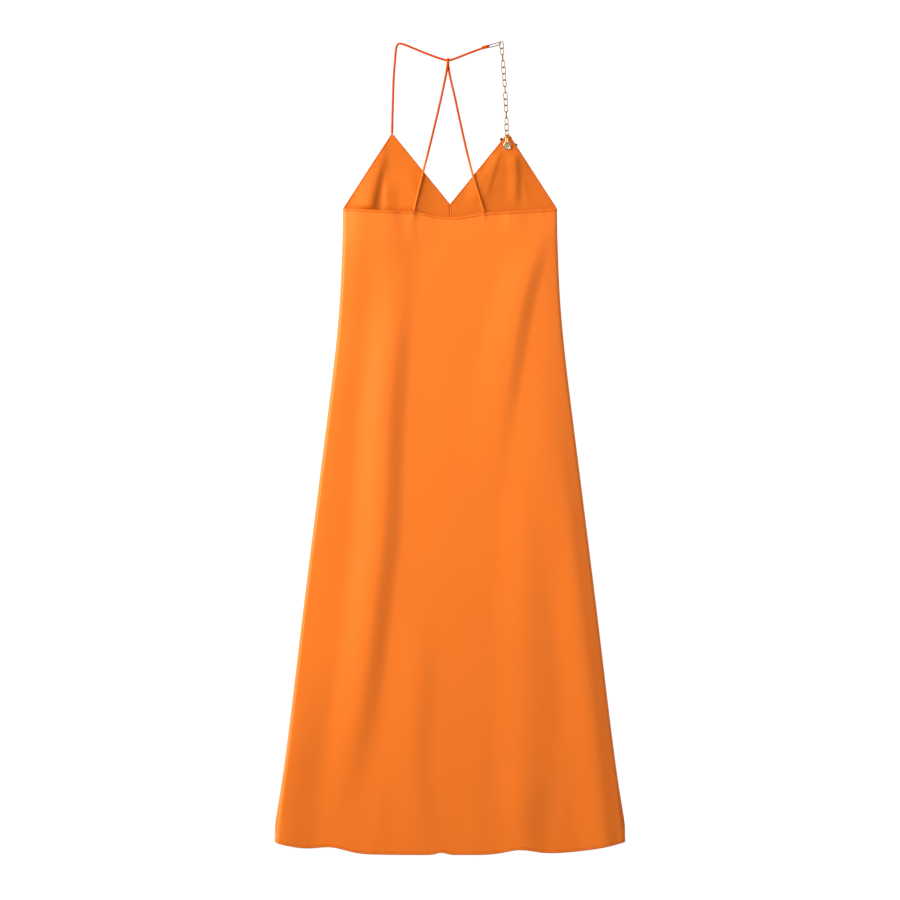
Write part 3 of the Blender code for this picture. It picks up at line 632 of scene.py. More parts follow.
# %% Height of the back
CLOTH = 1.5
SEAM_GAP = 0.3
BAND_EXTRA = 0.5
HEM_DEPTH = 5.0
ROLLED_EDGE = 3.0
TOP_EDGE = 4.4
PILLOW = 4.0
PILLOW_LEFT = 6.0
PILLOW_RIGHT = 42.0
PILLOW_TOP = 60.0
PILLOW_TOP_SHARE = 0.35
PILLOW_TOP_CLEAR = 8.0
SEAM_HEIGHT = 1.1
SEAM_ROUND = 5.0

Lift = namedtuple("Lift", "height left left_full right_full right start full")
BACK_LIFTS = (
    Lift(8.6, -215.0, -150.0, -112.0, -50.0, 930.0, 1112.0),
    Lift(2.4, -84.0, -66.0, -50.0, -14.0, 1040.0, 1100.0),
    Lift(1.6, 88.0, 104.0, 112.0, 140.0, 1060.0, 1100.0),
)
TopRow = namedtuple("TopRow", "x level")
BACK_TOP = (
    TopRow(-185.0, 1117.5), TopRow(-104.0, 1113.5), TopRow(-60.0, 1111.5), TopRow(-20.0, 1104.5),
    TopRow(10.0, 1102.5), TopRow(43.0, 1107.5), TopRow(60.0, 1110.0), TopRow(105.0, 1112.5),
    TopRow(185.0, 1117.5),
)

Tail = namedtuple("Tail", "x height")
STRAP_TAILS = (Tail(-62.8, 1.9), Tail(59.2, 1.7))
TAIL_HALF_WIDTH = 3.4
TAIL_START = 1094.0
TAIL_FULL = 1106.0


def tail_bulge(x, level):
    grow = smoothstep(TAIL_START, TAIL_FULL, level)
    return grow * sum(
        tail.height * math.exp(-(((x - tail.x) / TAIL_HALF_WIDTH) ** 2)) for tail in STRAP_TAILS
    )


def lift_height(lift, x, level):
    across = smoothstep(lift.left, lift.left_full, x)
    across *= 1.0 - smoothstep(lift.right_full, lift.right, x)
    return lift.height * across * smoothstep(lift.start, lift.full, level)


def back_face(x, level):
    """Height of the outer face of the back, without the bands of its turned edges."""
    edge = half_width(level)
    side = rounded(PILLOW_LEFT, x + edge) * rounded(PILLOW_RIGHT, edge - x)
    sunk = smoothstep(SIDE_TOP_LEVEL - PILLOW_TOP, SIDE_TOP_LEVEL - PILLOW_TOP_CLEAR, level)
    pillow = PILLOW * (1.0 - (1.0 - PILLOW_TOP_SHARE) * sunk)
    folds = sum(fold_height(fold, x, level) for fold in BACK_FOLDS + BACK_CREASES)
    lifts = sum(lift_height(lift, x, level) for lift in BACK_LIFTS)
    height = CLOTH + SEAM_GAP + CLOTH + side * (pillow + folds) + lifts + tail_bulge(x, level)
    turn = rounded(SEAM_ROUND, edge - abs(x))
    return SEAM_HEIGHT + (height - SEAM_HEIGHT) * turn


print("height of the back at its middle:", round(back_face(0, 560), 2), "mm")

# %% [markdown]
# ## Cloth shells
# Every panel is one grid, moved point by point to the height functions, and a Solidify modifier
# then gives it a thin wall on its hidden side. A simulation would also drape it, but the folds
# have to lie exactly where they were seen, so they are listed one by one. At a finished edge the
# grid runs on: it turns round a small radius and comes back underneath as the turned hem does.

# %% A helper for cloth
SHELL = 0.5
TURN_RADIUS = 0.75
TURN_STEPS = 4


def turned_edge(depth):
    """(inwards, down) of the points of a turned edge, from its start on the face to its raw end."""
    path = []
    for k in range(TURN_STEPS + 1):
        angle = math.pi * k / TURN_STEPS
        path.append((TURN_RADIUS * (1 - math.sin(angle)), TURN_RADIUS * (1 - math.cos(angle))))
    path.append((depth / 2, 2 * TURN_RADIUS))
    path.append((depth, 2 * TURN_RADIUS))
    return path


def finish_mesh(name, shape, material, smooth_angle=180.0):
    """A smooth-shaded object at the origin, made of a finished bmesh."""
    mesh = bpy.data.meshes.new(name)
    shape.to_mesh(mesh)
    shape.free()
    mesh.materials.append(material)
    mesh.shade_smooth()
    if smooth_angle < 180.0:
        mesh.set_sharp_from_angle(angle=math.radians(smooth_angle))
    thing = bpy.data.objects.new(name, mesh)
    bpy.context.scene.collection.objects.link(thing)
    return thing


def cloth_shell(name, columns, rows, face, material, flip=False):
    """A grid moved to face(i, j), then given a thin wall on its hidden side.

    The face gives x, level, height, and the share of painted rim shade there.
    """
    sheet = bmesh.new()
    bmesh.ops.create_grid(sheet, x_segments=columns, y_segments=rows, size=0.5)
    painted_rim_shade = sheet.verts.layers.float.new(RIM_SHADE_ATTRIBUTE)
    for vertex in sheet.verts:
        i = round((vertex.co.x + 0.5) * columns)
        j = round((vertex.co.y + 0.5) * rows)
        *where, vertex[painted_rim_shade] = face(i, j)
        vertex.co = place(*where)
    if flip:
        bmesh.ops.reverse_faces(sheet, faces=sheet.faces)
    thing = finish_mesh(name, sheet, material)
    wall = thing.modifiers.new("cloth_wall", "SOLIDIFY")
    wall.thickness = SHELL * MM
    wall.offset = -1.0
    return thing


print("turned edge points:", len(turned_edge(HEM_DEPTH)))

# %% [markdown]
# ## The back
# The rows of its grid are close together at the hem and at the top edge, where small forms need
# them, and even in between. Towards the side seams the columns also draw together.

# %% Rows and columns of the back
BACK_COLUMNS = 136
COLUMN_CROWDING = 0.55
BACK_EVEN_ROWS = 232
HEM_ROWS = (TURN_RADIUS, 2.0, 3.4, 4.2, 4.8, 5.6, 7.0, 9.5)
TOP_ROWS = (12.0, 8.5, 6.0, 4.4, 3.4, 2.9, 1.8, TURN_RADIUS)
HEM_RISE_REACH = 160.0
TOP_FOLLOW_LEVEL = 950.0
FOLLOWED_TOP = SIDE_TOP_LEVEL - TOP_ROWS[0]


def column_share(i, columns):
    """From -1 at the left edge to 1 at the right, closer together near the edges."""
    even = 2 * i / columns - 1
    return even * (1 - COLUMN_CROWDING) + math.sin(even * math.pi / 2) * COLUMN_CROWDING


def rows_between(low, high, count):
    return [low + (high - low) * k / count for k in range(1, count)]


hem_turn = list(reversed(turned_edge(HEM_DEPTH)[1:]))
top_turn = turned_edge(TOP_EDGE)[1:]
level_rows = [*HEM_ROWS, *rows_between(HEM_ROWS[-1], FOLLOWED_TOP, BACK_EVEN_ROWS)]
back_rows = len(hem_turn) + len(level_rows) + len(TOP_ROWS) + len(top_turn)
print("grid of the back:", BACK_COLUMNS, "by", back_rows)

# %% [markdown]
# A turned edge is two layers thick, so it stands up as a low crowned band with a dip along its line
# of stitches. Sewing also draws it in, and a small uneven wave along the edge shows that pull. Its
# three sines have lengths that never fall in step. The share of painted shade, at the rim and along
# the stitches, is written to the attribute that the satin reads.

# %% The back's shell
Pucker = namedtuple("Pucker", "length height")
PUCKERS = (Pucker(17.0, 0.16), Pucker(29.0, 0.20), Pucker(7.3, 0.07))
PUCKER_REACH = 16.0
STITCH_DIP = 0.22
STITCH_DIP_WIDTH = 0.8
# How strongly the stitch line and the rim are given painted shade.
STITCH_SHADE = 0.8
RIM_SHADE = 0.6
RIM_WIDTH = 1.9
TOP_PUCKER_SHIFT = 50.0


def pucker(along, distance):
    """Height of the waves along an edge, dying out at a distance from it."""
    wave = sum(row.height * math.sin(2 * math.pi * along / row.length) for row in PUCKERS)
    return wave * (1.0 - smoothstep(0.0, PUCKER_REACH, distance))


def near_stitches(distance, depth):
    """1 on the line of stitches of a turned edge, and falling to 0 beside it."""
    line = depth - STITCH_DIP_WIDTH
    return math.exp(-(((distance - line) / STITCH_DIP_WIDTH) ** 2))


def band(distance, depth):
    """Extra height of a turned edge: a crowned band with a dip along its line of stitches."""
    crown = math.sin(math.pi * min(1.0, max(0.0, distance / depth)))
    return BAND_EXTRA * crown - STITCH_DIP * near_stitches(distance, depth)


def rim_shade_share(distance, depth):
    """Painted shade, between 0 and 1, strongest at the rim and along the stitches."""
    rim = 1.0 - smoothstep(0.0, RIM_WIDTH, distance)
    return max(RIM_SHADE * rim, STITCH_SHADE * near_stitches(distance, depth))


def hem_height(x, level, inwards):
    return back_face(x, level) + band(inwards, HEM_DEPTH) + pucker(x, inwards)


def top_height(x, level, inwards):
    return back_face(x, level) + band(inwards, TOP_EDGE) + pucker(x + TOP_PUCKER_SHIFT, inwards)


def back_place(i, j):
    """A point of the back: the turned hem, the rows up to the top edge, then the turned top."""
    share = column_share(i, BACK_COLUMNS)
    if j < len(hem_turn) + len(level_rows):
        inwards, down = hem_turn[j] if j < len(hem_turn) else (level_rows[j - len(hem_turn)], 0.0)
        x = share * half_width(inwards)
        level = inwards + hem_level(x) * (1.0 - smoothstep(0.0, HEM_RISE_REACH, inwards))
        follow = smoothstep(TOP_FOLLOW_LEVEL, FOLLOWED_TOP, inwards)
        level += (table_curve(BACK_TOP, x) - SIDE_TOP_LEVEL) * follow
        return x, level, hem_height(x, level, inwards) - down, rim_shade_share(inwards, HEM_DEPTH)
    k = j - len(hem_turn) - len(level_rows)
    inwards, down = (TOP_ROWS[k], 0.0) if k < len(TOP_ROWS) else top_turn[k - len(TOP_ROWS)]
    x = share * SIDE_TOP_HALF
    level = table_curve(BACK_TOP, x) - inwards
    return x, level, top_height(x, level, inwards) - down, rim_shade_share(inwards, TOP_EDGE)


back = cloth_shell("satin_back", BACK_COLUMNS, back_rows - 1, back_place, satin_face)
print("back:", len(back.data.polygons), "faces")

# %% [markdown]
# ## The front of the skirt
# The front lies face down and bears the dress, so it is flat but for a few shallow creases that
# lift off the floor. Its hem sits a little higher than the back's, which is why it never shows from
# above. We build it as the back was built, upside down: the face is its lower side.

# %% The front's shell
FRONT_HEM_SETBACK = 2.4
FRONT_COLUMNS = 84
FRONT_EVEN_ROWS = 150
FRONT_TURN_SHARE = 0.6
FRONT_CREASE_START = 2.0
FRONT_CREASE_FULL = 30.0
FRONT_CREASES = (
    Fold(0.8, 30.0, 22.0, 120.0, 120.0, (
        TrackRow(-20.0, 170.0), TrackRow(420.0, 118.0), TrackRow(900.0, 84.0),
    )),
    Fold(0.7, 26.0, 20.0, 110.0, 110.0, (
        TrackRow(60.0, -150.0), TrackRow(430.0, -96.0), TrackRow(760.0, -92.0),
    )),
    Fold(0.6, 22.0, 24.0, 90.0, 90.0, (
        TrackRow(-20.0, 20.0), TrackRow(200.0, 34.0), TrackRow(480.0, 26.0),
    )),
    Fold(0.6, 18.0, 18.0, 80.0, 80.0, (
        TrackRow(640.0, 10.0), TrackRow(820.0, -12.0), TrackRow(1050.0, -30.0),
    )),
    Fold(0.5, 20.0, 20.0, 70.0, 70.0, (
        TrackRow(-20.0, -236.0), TrackRow(120.0, -228.0), TrackRow(330.0, -204.0),
    )),
)
front_level_rows = [*HEM_ROWS, *rows_between(HEM_ROWS[-1], BUST_SEAM_LEVEL, FRONT_EVEN_ROWS)]
front_level_rows.append(BUST_SEAM_LEVEL)
front_rows = len(hem_turn) + len(front_level_rows)


def front_place(i, j):
    """A point of the front's lower side, from its turned hem up to the bust seam."""
    share = column_share(i, FRONT_COLUMNS)
    turned = j < len(hem_turn)
    inwards, down = hem_turn[j] if turned else (front_level_rows[j - len(hem_turn)], 0.0)
    x = share * half_width(inwards)
    rise = (hem_level(x) + FRONT_HEM_SETBACK) * (1.0 - smoothstep(0.0, HEM_RISE_REACH, inwards))
    level = inwards + rise
    inside = rounded(SEAM_ROUND, half_width(inwards) - abs(x))
    crease = sum(fold_height(fold, x, level) for fold in FRONT_CREASES)
    clear_of_hem = smoothstep(FRONT_CREASE_START, FRONT_CREASE_FULL, inwards)
    height = (SEAM_HEIGHT - SHELL) * (1.0 - inside) + crease * inside * clear_of_hem
    return x, level, height + down * FRONT_TURN_SHARE, rim_shade_share(inwards, HEM_DEPTH)


front = cloth_shell("satin_front", FRONT_COLUMNS, front_rows - 1, front_place, satin_face,
                    flip=True)
print("front:", len(front.data.polygons), "faces")

# %% [markdown]
# ## The cups
# Two triangles make the bust. They are sewn to each other below the V of the neck and to the
# skirt's front under the bust, and we look at their inside. The left one carries a dart, whose
# fold throws a deep shadow. The right one hangs from its ring in soft pleats. These folds are a
# finer version of the solids'. Close above the back's top edge both cups dip, because the back is
# pressed on to them there, and a shallow trough marks the seam between them.

# %% Shape of the cups
NECK_LEVEL = 1125.5
CUP_TIP_LEVEL = 1246.0
CUP_TIP_X = 100.0
CUP_TIP_WIDTH = 4.0
RING_X = 98.6
RING_LEVEL = 1225.2
TIP_FLAT = 16.4
TIP_REACH = 62.0
TIP_LIFT = 3.3
CUP_FOLD_END_LEVEL = 1088.0
CUP_FOLD_FULL_LEVEL = 1118.0
SEAM_TROUGH = 0.5
SEAM_TROUGH_WIDTH = 3.0
MEETING_EDGE = 0.02
TOP_DIP_SHARE = 0.6
TOP_DIP_REACH = 7.0

LEFT_CUP_FOLDS = (
    Fold(4.6, 40.0, 13.0, 45.0, 62.0, (
        TrackRow(1080.0, -131.0), TrackRow(1119.0, -129.5), TrackRow(1137.0, -126.5),
        TrackRow(1169.0, -120.0), TrackRow(1197.0, -113.5), TrackRow(1217.0, -110.0),
        TrackRow(1236.0, -106.0),
    )),
    Fold(2.8, 36.0, 20.0, 40.0, 66.0, (
        TrackRow(1080.0, -131.0), TrackRow(1117.0, -130.5), TrackRow(1150.0, -129.0),
        TrackRow(1190.0, -122.0),
    )),
    Fold(2.8, -26.0, -8.0, 30.0, 50.0, (
        TrackRow(1080.0, -114.0), TrackRow(1117.0, -114.5), TrackRow(1145.0, -114.5),
        TrackRow(1186.0, -110.0),
    )),
    Fold(2.8, 44.0, 42.0, 40.0, 30.0, (
        TrackRow(1080.0, -38.0), TrackRow(1118.0, -42.0), TrackRow(1150.0, -44.0),
        TrackRow(1194.0, -58.0),
    )),
)
RIGHT_CUP_FOLDS = (
    Fold(3.6, 20.0, 100.0, 56.0, 40.0, (
        TrackRow(1108.0, 86.0), TrackRow(1170.0, 100.0), TrackRow(1225.0, 112.0),
    )),
    Fold(1.5, 18.0, 8.0, 34.0, 14.0, (
        TrackRow(1122.0, 64.0), TrackRow(1157.0, 71.0), TrackRow(1180.0, 78.0),
        TrackRow(1202.0, 85.0), TrackRow(1217.0, 90.0),
    )),
    Fold(2.5, 18.0, 11.0, 40.0, 14.0, (
        TrackRow(1112.0, 117.0), TrackRow(1140.0, 118.5), TrackRow(1170.0, 119.5),
        TrackRow(1198.0, 118.0), TrackRow(1214.0, 116.5),
    )),
)
CUP_CREASES = (
    Fold(0.6, 9.0, 8.0, 22.0, 22.0, (
        TrackRow(1150.0, -109.0), TrackRow(1180.0, -108.0), TrackRow(1214.0, -104.0),
    )),
    Fold(0.7, 14.0, 12.0, 26.0, 26.0, (
        TrackRow(1100.0, -38.0), TrackRow(1130.0, -48.0), TrackRow(1176.0, -62.0),
    )),
    Fold(0.6, 10.0, 10.0, 24.0, 24.0, (
        TrackRow(1120.0, 46.0), TrackRow(1160.0, 58.0), TrackRow(1196.0, 76.0),
    )),
    Fold(0.5, 9.0, 9.0, 22.0, 22.0, (
        TrackRow(1112.0, 142.0), TrackRow(1140.0, 136.0), TrackRow(1176.0, 128.0),
    )),
)


def cup_sides(level):
    """Distances of a cup's outer and inner edges from the centre line."""
    outer = half_width(level)
    if level > SIDE_TOP_LEVEL:
        share = (level - SIDE_TOP_LEVEL) / (CUP_TIP_LEVEL - SIDE_TOP_LEVEL)
        outer = SIDE_TOP_HALF + (CUP_TIP_X + CUP_TIP_WIDTH / 2 - SIDE_TOP_HALF) * share
    inner = MEETING_EDGE
    if level > NECK_LEVEL:
        share = (level - NECK_LEVEL) / (CUP_TIP_LEVEL - NECK_LEVEL)
        inner += (CUP_TIP_X - CUP_TIP_WIDTH / 2 - inner) * share
    return outer, inner


def cup_face(x, level):
    """Height of the upper side of a cup, without its rolled edges."""
    own = LEFT_CUP_FOLDS if x < 0 else RIGHT_CUP_FOLDS
    folds = sum(fold_height(fold, x, level) for fold in own + CUP_CREASES)
    folds *= smoothstep(CUP_FOLD_END_LEVEL, CUP_FOLD_FULL_LEVEL, level)
    distance = math.hypot(x - RING_X, level - RING_LEVEL)
    lift = TIP_LIFT * (1.0 - smoothstep(TIP_FLAT, TIP_REACH, distance))
    trough = SEAM_TROUGH * (1.0 - smoothstep(0.0, SEAM_TROUGH_WIDTH, abs(x)))
    above_back = level - table_curve(BACK_TOP, x)
    dip = TOP_DIP_SHARE * (1.0 - smoothstep(0.0, TOP_DIP_REACH, above_back))
    return (CLOTH + folds - trough) * (1.0 - dip) + lift


print("cups: tips at level", CUP_TIP_LEVEL, "and", 2 * CUP_TIP_X, "mm apart")

# %% [markdown]
# A cup's rows run straight across it and grow shorter towards its tip. Its finished edges are
# columns, so here the turned edge is made of the first and last few columns of the grid. Near the
# tip there is too little width for them, and they are squeezed together.

# %% The cups' shells
CUP_COLUMNS = 66
CUP_LOW_ROWS = 14
CUP_HIGH_ROWS = 52
EDGE_COLUMNS = (TURN_RADIUS, 1.6, 2.4, 3.0, 4.0)
EDGE_SHARE = 0.25
LOWEST_CUP = 0.1
CUP_PUCKER_SHIFT = 30.0

cup_turn = list(reversed(turned_edge(ROLLED_EDGE)[1:]))
cup_levels = [BUST_SEAM_LEVEL, *rows_between(BUST_SEAM_LEVEL, NECK_LEVEL, CUP_LOW_ROWS)]
cup_levels += [NECK_LEVEL, *rows_between(NECK_LEVEL, CUP_TIP_LEVEL, CUP_HIGH_ROWS), CUP_TIP_LEVEL]
edge_path = [*cup_turn, *((inwards, 0.0) for inwards in EDGE_COLUMNS)]


def cup_height(side, x, level, distance, depth):
    wave = pucker(level + CUP_PUCKER_SHIFT * side, distance)
    return cup_face(x, level) + band(distance, depth) + wave


def cup_place(side):
    """The place function of the cup on one side, -1 for the left one and 1 for the right."""
    def at(i, j):
        outer, inner = cup_sides(cup_levels[j])
        width = outer - inner
        squeeze = min(1.0, EDGE_SHARE * width / EDGE_COLUMNS[-1])
        near_left = i < len(edge_path)
        near_right = i > CUP_COLUMNS - len(edge_path)
        down = 0.0
        if near_left or near_right:
            inwards, down = edge_path[i if near_left else CUP_COLUMNS - i]
            across = inwards * squeeze if near_left else width - inwards * squeeze
        else:
            margin = EDGE_COLUMNS[-1] * squeeze
            middle = (i - len(edge_path) + 1) / (CUP_COLUMNS - 2 * len(edge_path) + 2)
            across = margin + (width - 2 * margin) * middle
        x = inner + across if side > 0 else -outer + across
        distance = min(across, width - across)
        depth = ROLLED_EDGE * squeeze
        height = cup_height(side, x, cup_levels[j], distance, depth) - down * squeeze
        finished = smoothstep(BUST_SEAM_LEVEL, NECK_LEVEL, cup_levels[j])
        share = finished * rim_shade_share(distance, depth)
        return x, cup_levels[j], max(LOWEST_CUP, height), share

    return at


cup_rows = len(cup_levels) - 1
cup_left = cloth_shell("satin_cup_left", CUP_COLUMNS, cup_rows, cup_place(-1), satin_inside)
cup_right = cloth_shell("satin_cup_right", CUP_COLUMNS, cup_rows, cup_place(1), satin_inside)
print("cups:", len(cup_left.data.polygons) + len(cup_right.data.polygons), "faces")

# %% [markdown]
# ## Straps
# The straps are rouleaux: tubes of bias-cut satin, turned inside out and pulled through themselves.
# Their solids already follow the right route, with eight sides. We copy each mesh, join its
# triangles back into four-sided faces, and let a Subdivision Surface round it. That draws the
# tube in a little, so its skin is first moved out by as much.

# %% Rounding a solid of the frame
JOIN_LIMIT = math.radians(60.0)
MERGE = 0.02


def rounded_copy(node, name, material, outwards, levels):
    """A merged, four-sided copy of a solid, swollen slightly and subdivided."""
    shape = bmesh.new()
    shape.from_mesh(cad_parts[node].data)
    bmesh.ops.remove_doubles(shape, verts=shape.verts, dist=MERGE * MM)
    bmesh.ops.join_triangles(shape, faces=shape.faces, angle_face_threshold=JOIN_LIMIT,
                             angle_shape_threshold=math.pi)
    shape.normal_update()
    for vertex in shape.verts:
        vertex.co += vertex.normal * (outwards * MM)
    thing = finish_mesh(name, shape, material)
    subdivision = thing.modifiers.new("rounding", "SUBSURF")
    subdivision.levels = levels
    subdivision.render_levels = levels
    return thing


STRAP_SWELL = 0.34
shoulder_strap = rounded_copy("shoulder_strap", "rouleau_shoulder", satin_strap, STRAP_SWELL, 1)
back_strap = rounded_copy("back_strap", "rouleau_back", satin_strap, STRAP_SWELL, 1)
print("straps:", len(shoulder_strap.data.polygons) + len(back_strap.data.polygons), "faces")

# %% [markdown]
# ## The chain, the ring and the plate
# The links are bent from round wire, each passed through its neighbour. Their solids have the
# right place and tilt but only six sides to the wire, so they are rounded as the straps are. The
# ring is rounded too. The small plate inside it is flat and crisp, so its own solid is kept.

# %% Chain and ring
WIRE_SWELL = 0.18
RING_SWELL = 0.17
LINKS = 16
metal_pieces = {}
for number in range(1, LINKS + 1):
    node = f"link_{number:02d}"
    # On the last link the pale gold is a painted highlight.
    metal = pale_gold_and_highlight if number == LINKS else gold
    metal_pieces[node] = rounded_copy(node, f"chain_{number:02d}", metal, WIRE_SWELL, 2)
metal_pieces["end_link"] = rounded_copy("end_link", "chain_end", gold, WIRE_SWELL, 2)
metal_pieces["tip_ring"] = rounded_copy("tip_ring", "ring_of_tip", silver, RING_SWELL, 2)
print("chain pieces:", len(metal_pieces))

# %% [markdown]
# The ornament is a flat rosette of black enamel on the outside of the cup, and only the ends of
# three petals show round the tip. Its solid has few corners. Here we bend a finer circle to the
# same six petals, pull it up, and round its rim with a bevel of several steps.

# %% Ornament of the tip
ORNAMENT_RADIUS = 13.4
ORNAMENT_PETAL = 4.8
ORNAMENT_PETALS = 6
ORNAMENT_TURN = math.radians(8.0)
ORNAMENT_THICKNESS = 3.0
ORNAMENT_BEVEL = 1.2
ORNAMENT_BEVEL_STEPS = 4
ORNAMENT_CORNERS = 180
ORNAMENT_SMOOTH_ANGLE = 50.0

rosette = bmesh.new()
bmesh.ops.create_circle(rosette, cap_ends=True, segments=ORNAMENT_CORNERS, radius=1.0)
for vertex in rosette.verts:
    turn = math.atan2(vertex.co.y, vertex.co.x)
    radius = ORNAMENT_RADIUS + ORNAMENT_PETAL * math.cos(ORNAMENT_PETALS * (turn - ORNAMENT_TURN))
    vertex.co = place(RING_X + radius * math.cos(turn), RING_LEVEL + radius * math.sin(turn), 0.0)
raised = bmesh.ops.extrude_face_region(rosette, geom=rosette.faces[:])
top = [item for item in raised["geom"] if isinstance(item, bmesh.types.BMVert)]
bmesh.ops.translate(rosette, verts=top, vec=(0, 0, ORNAMENT_THICKNESS * MM))
bmesh.ops.recalc_face_normals(rosette, faces=rosette.faces)
rim = [edge for edge in rosette.edges if edge.verts[0] in top and edge.verts[1] in top]
bmesh.ops.bevel(rosette, geom=rim, offset=ORNAMENT_BEVEL * MM, segments=ORNAMENT_BEVEL_STEPS,
                affect="EDGES", profile=0.5, material=-1)
ornament = finish_mesh("rosette_of_tip", rosette, enamel, smooth_angle=ORNAMENT_SMOOTH_ANGLE)
print("ornament:", len(ornament.data.polygons), "faces")

# %% [markdown]
# ## Sewing
# A machine stitch is a short, plump stretch of thread that sinks into the cloth at both ends.
# Hundreds of them are needed, so each is a small flattened ball with few faces, and each row of
# them is one joined mesh laid along a line of points.

# %% A helper for rows of stitches
STITCH_LENGTH = 2.3
STITCH_PITCH = 3.0
STITCH_WIDTH = 0.42


def stitch_row(name, path, pitch=STITCH_PITCH):
    """Stitches along a path of places, a pitch apart, all in one mesh."""
    shape = bmesh.new()
    half_sizes = Matrix.Diagonal((STITCH_LENGTH / 2, STITCH_WIDTH / 2, STITCH_WIDTH / 2)) * MM
    spare = 0.0
    for start, end in zip(path, path[1:]):
        run = end - start
        turn = run.to_track_quat("X", "Z").to_matrix()
        while spare < run.length:
            at = Matrix.Translation(start + run * (spare / run.length))
            bmesh.ops.create_uvsphere(shape, u_segments=6, v_segments=4, radius=1.0,
                                      matrix=at @ (turn @ half_sizes).to_4x4())
            spare += pitch * MM
        spare -= run.length
    return finish_mesh(name, shape, sewing_thread)


print("a stitch is", STITCH_LENGTH, "mm long, every", STITCH_PITCH, "mm")

# %% [markdown]
# The hems, the back's top edge and the finished edges of the cups are each sewn once along. Each
# line reads the same height functions as its cloth, a hair higher, so the thread lies in the dip of
# its band. A cup's edge runs aslant, so a distance along its rows is a little longer than the same
# distance square to the edge. Two short bars of close stitches hold each tail of the back strap.

# %% Lines of stitches
ABOVE_CLOTH = 0.05
ABOVE_FLOOR = 0.24
SIDE_GAP = 3.0
TIP_GAP = 8.0
CUP_EDGE_SLANT = 1.2
HEM_POINTS = 150
TOP_POINTS = 90
CUP_EDGE_POINTS = 45
HEM_STITCH_INWARDS = HEM_DEPTH - STITCH_DIP_WIDTH


def line(count, at):
    """Places along a line, from a function of the share of its length."""
    return [place(*at(k / count)) for k in range(count + 1)]


def hem_line(share):
    x = (2 * share - 1) * (half_width(HEM_DEPTH) - SIDE_GAP)
    level = HEM_STITCH_INWARDS + hem_level(x)
    return x, level, hem_height(x, level, HEM_STITCH_INWARDS) + ABOVE_CLOTH


def front_hem_line(share):
    x = (2 * share - 1) * (half_width(HEM_DEPTH) - SIDE_GAP)
    return x, HEM_STITCH_INWARDS + hem_level(x) + FRONT_HEM_SETBACK, ABOVE_FLOOR


def on_top_edge(x, inwards):
    level = table_curve(BACK_TOP, x) - inwards
    return x, level, top_height(x, level, inwards) + ABOVE_CLOTH


def top_line(share):
    return on_top_edge((2 * share - 1) * (SIDE_TOP_HALF - SIDE_GAP), TOP_EDGE - STITCH_DIP_WIDTH)


def cup_edge_line(side, outer_edge):
    """Stitches along one edge of a cup, from the side or the neck up to near its tip."""
    start = SIDE_TOP_LEVEL if outer_edge else NECK_LEVEL
    end = CUP_TIP_LEVEL - TIP_GAP
    inwards = ROLLED_EDGE - STITCH_DIP_WIDTH

    def at(share):
        level = start + (end - start) * share
        outer, inner = cup_sides(level)
        across = inwards * CUP_EDGE_SLANT
        x = side * (outer - across if outer_edge else inner + across)
        return x, level, cup_height(side, x, level, inwards, ROLLED_EDGE) + ABOVE_CLOTH

    return at


print("stitches lie", ABOVE_CLOTH, "mm above their cloth")

# %% Sewing the edges and the straps' tails
BAR_LENGTH = 5.0
BAR_INWARDS = (1.0, 2.4)
BAR_POINTS = 6
BAR_PITCH = 1.1


def bar_line(tail, inwards):
    """A short bar across the tail of a strap, just inside the back's top edge."""
    return line(BAR_POINTS, lambda share: on_top_edge(tail.x + (share - 0.5) * BAR_LENGTH, inwards))


stitches = [
    stitch_row("stitches_hem_back", line(HEM_POINTS, hem_line)),
    stitch_row("stitches_hem_front", line(HEM_POINTS, front_hem_line)),
    stitch_row("stitches_top_edge", line(TOP_POINTS, top_line)),
]
for side, side_name in ((-1, "left"), (1, "right")):
    for outer_edge, edge_name in ((True, "outer"), (False, "neck")):
        path = line(CUP_EDGE_POINTS, cup_edge_line(side, outer_edge))
        stitches.append(stitch_row(f"stitches_cup_{side_name}_{edge_name}", path))
for tail, side_name in zip(STRAP_TAILS, ("left", "right")):
    for number, inwards in enumerate(BAR_INWARDS, 1):
        bar = bar_line(tail, inwards)
        stitches.append(stitch_row(f"bar_tack_{side_name}_{number}", bar, pitch=BAR_PITCH))
print("rows of stitches:", len(stitches))

# %% [markdown]
# The plate is sewn on from its middle out through each of its three holes. Each stitch is a thick
# drop of thread that stands in its hole and leans towards the middle. The drops are near black:
# dark brown thread, and painted shade of the holes.

# %% Thread of the plate
PLATE_TOP = 6.1
PLATE_HOLE_CIRCLE = 2.0
PLATE_HOLES = 3
THREAD_DROP = (1.40, 1.05, 0.45)
# Near black: the thread's dark brown and painted shade of its holes.
DARK_THREAD_AND_HOLE_SHADE = (0.030, 0.010, 0.004, 1.0)

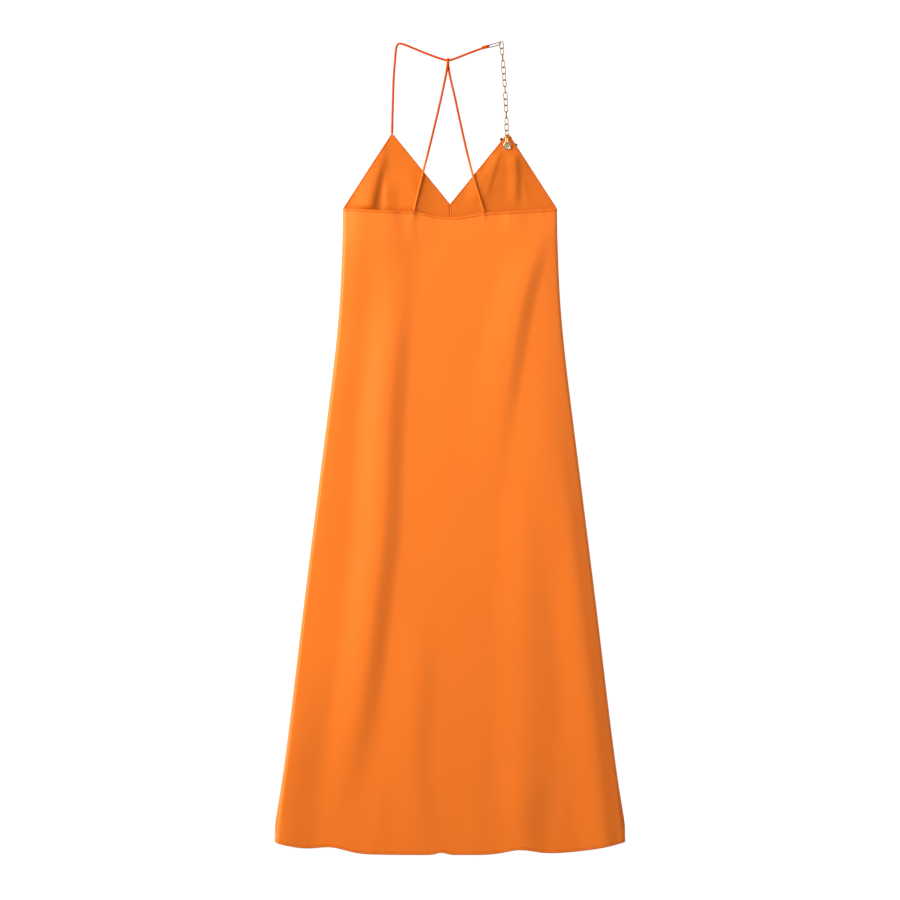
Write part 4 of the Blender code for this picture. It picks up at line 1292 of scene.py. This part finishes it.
thread_and_hole_shade = satin("thread_and_hole_shade", DARK_THREAD_AND_HOLE_SHADE, DARK_THREAD_AND_HOLE_SHADE, 0.6, 0.2, STRAP_GLOSS, 0.2)
drops = bmesh.new()
for k in range(PLATE_HOLES):
    turn = 2 * math.pi * k / PLATE_HOLES + math.pi / 2
    outwards = Vector((math.cos(turn), math.sin(turn), 0.0))
    at = place(RING_X, RING_LEVEL, PLATE_TOP) + outwards * (PLATE_HOLE_CIRCLE * MM)
    half_sizes = Matrix.Diagonal(THREAD_DROP) * MM
    lean = Matrix.Rotation(turn, 3, "Z")
    bmesh.ops.create_uvsphere(drops, u_segments=16, v_segments=10, radius=1.0,
                              matrix=Matrix.Translation(at) @ (lean @ half_sizes).to_4x4())
plate_thread = finish_mesh("thread_of_plate", drops, thread_and_hole_shade)
print("drops of thread:", PLATE_HOLES)

# %% [markdown]
# ## Telling the frame what each piece stands for
# Nothing on the dress is jointed, so every piece rides on its one body. The shells hide their
# solids, which stay for collision. Only the plate shows its own solid, so it just gets a material.

# %% Pieces and the solids they replace
PLAN = (
    (back, "back_panel", "satin"),
    (front, "skirt_front", "satin"),
    (cup_left, "cup_left", "satin"),
    (cup_right, "cup_right", "satin"),
    (shoulder_strap, "shoulder_strap", "satin"),
    (back_strap, "back_strap", "satin"),
    (ornament, "tip_ornament", "ornament_enamel"),
)
for piece, node, slot in PLAN:
    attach(piece, "root")
    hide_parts(node)
for node, piece in metal_pieces.items():
    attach(piece, "root")
    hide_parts(node)
for piece in (*stitches, plate_thread):
    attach(piece, "root")
plate_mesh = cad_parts["tip_plate"].data
plate_mesh.materials.clear()
plate_mesh.materials.append(pale_gold_and_highlight)
print("pieces:", len(PLAN) + len(metal_pieces) + len(stitches) + 1)

# %% [markdown]
# The area of each panel, as it was cut, is summed in thin strips from the outline that shaped it,
# and the hem's width is read off the same outline.

# %% Sheets of cloth
AREA_ROWS = 200


def cut_area(low, high, width_at):
    """Area of a flat panel in square metres, summed in thin strips."""
    step = (high - low) / AREA_ROWS
    return sum(width_at(low + (k + 0.5) * step) * step for k in range(AREA_ROWS)) * MM * MM


def panel_width(level):
    return 2 * half_width(level)


def cup_width(level):
    outer, inner = cup_sides(level)
    return outer - inner


back_area = cut_area(0.0, SIDE_TOP_LEVEL, panel_width)
front_area = cut_area(0.0, BUST_SEAM_LEVEL, panel_width)
cup_area = cut_area(BUST_SEAM_LEVEL, CUP_TIP_LEVEL, cup_width)
hem_width = panel_width(0.0) * MM
print("cut areas:", round(back_area, 3), round(front_area, 3), round(cup_area, 3), "square metres")
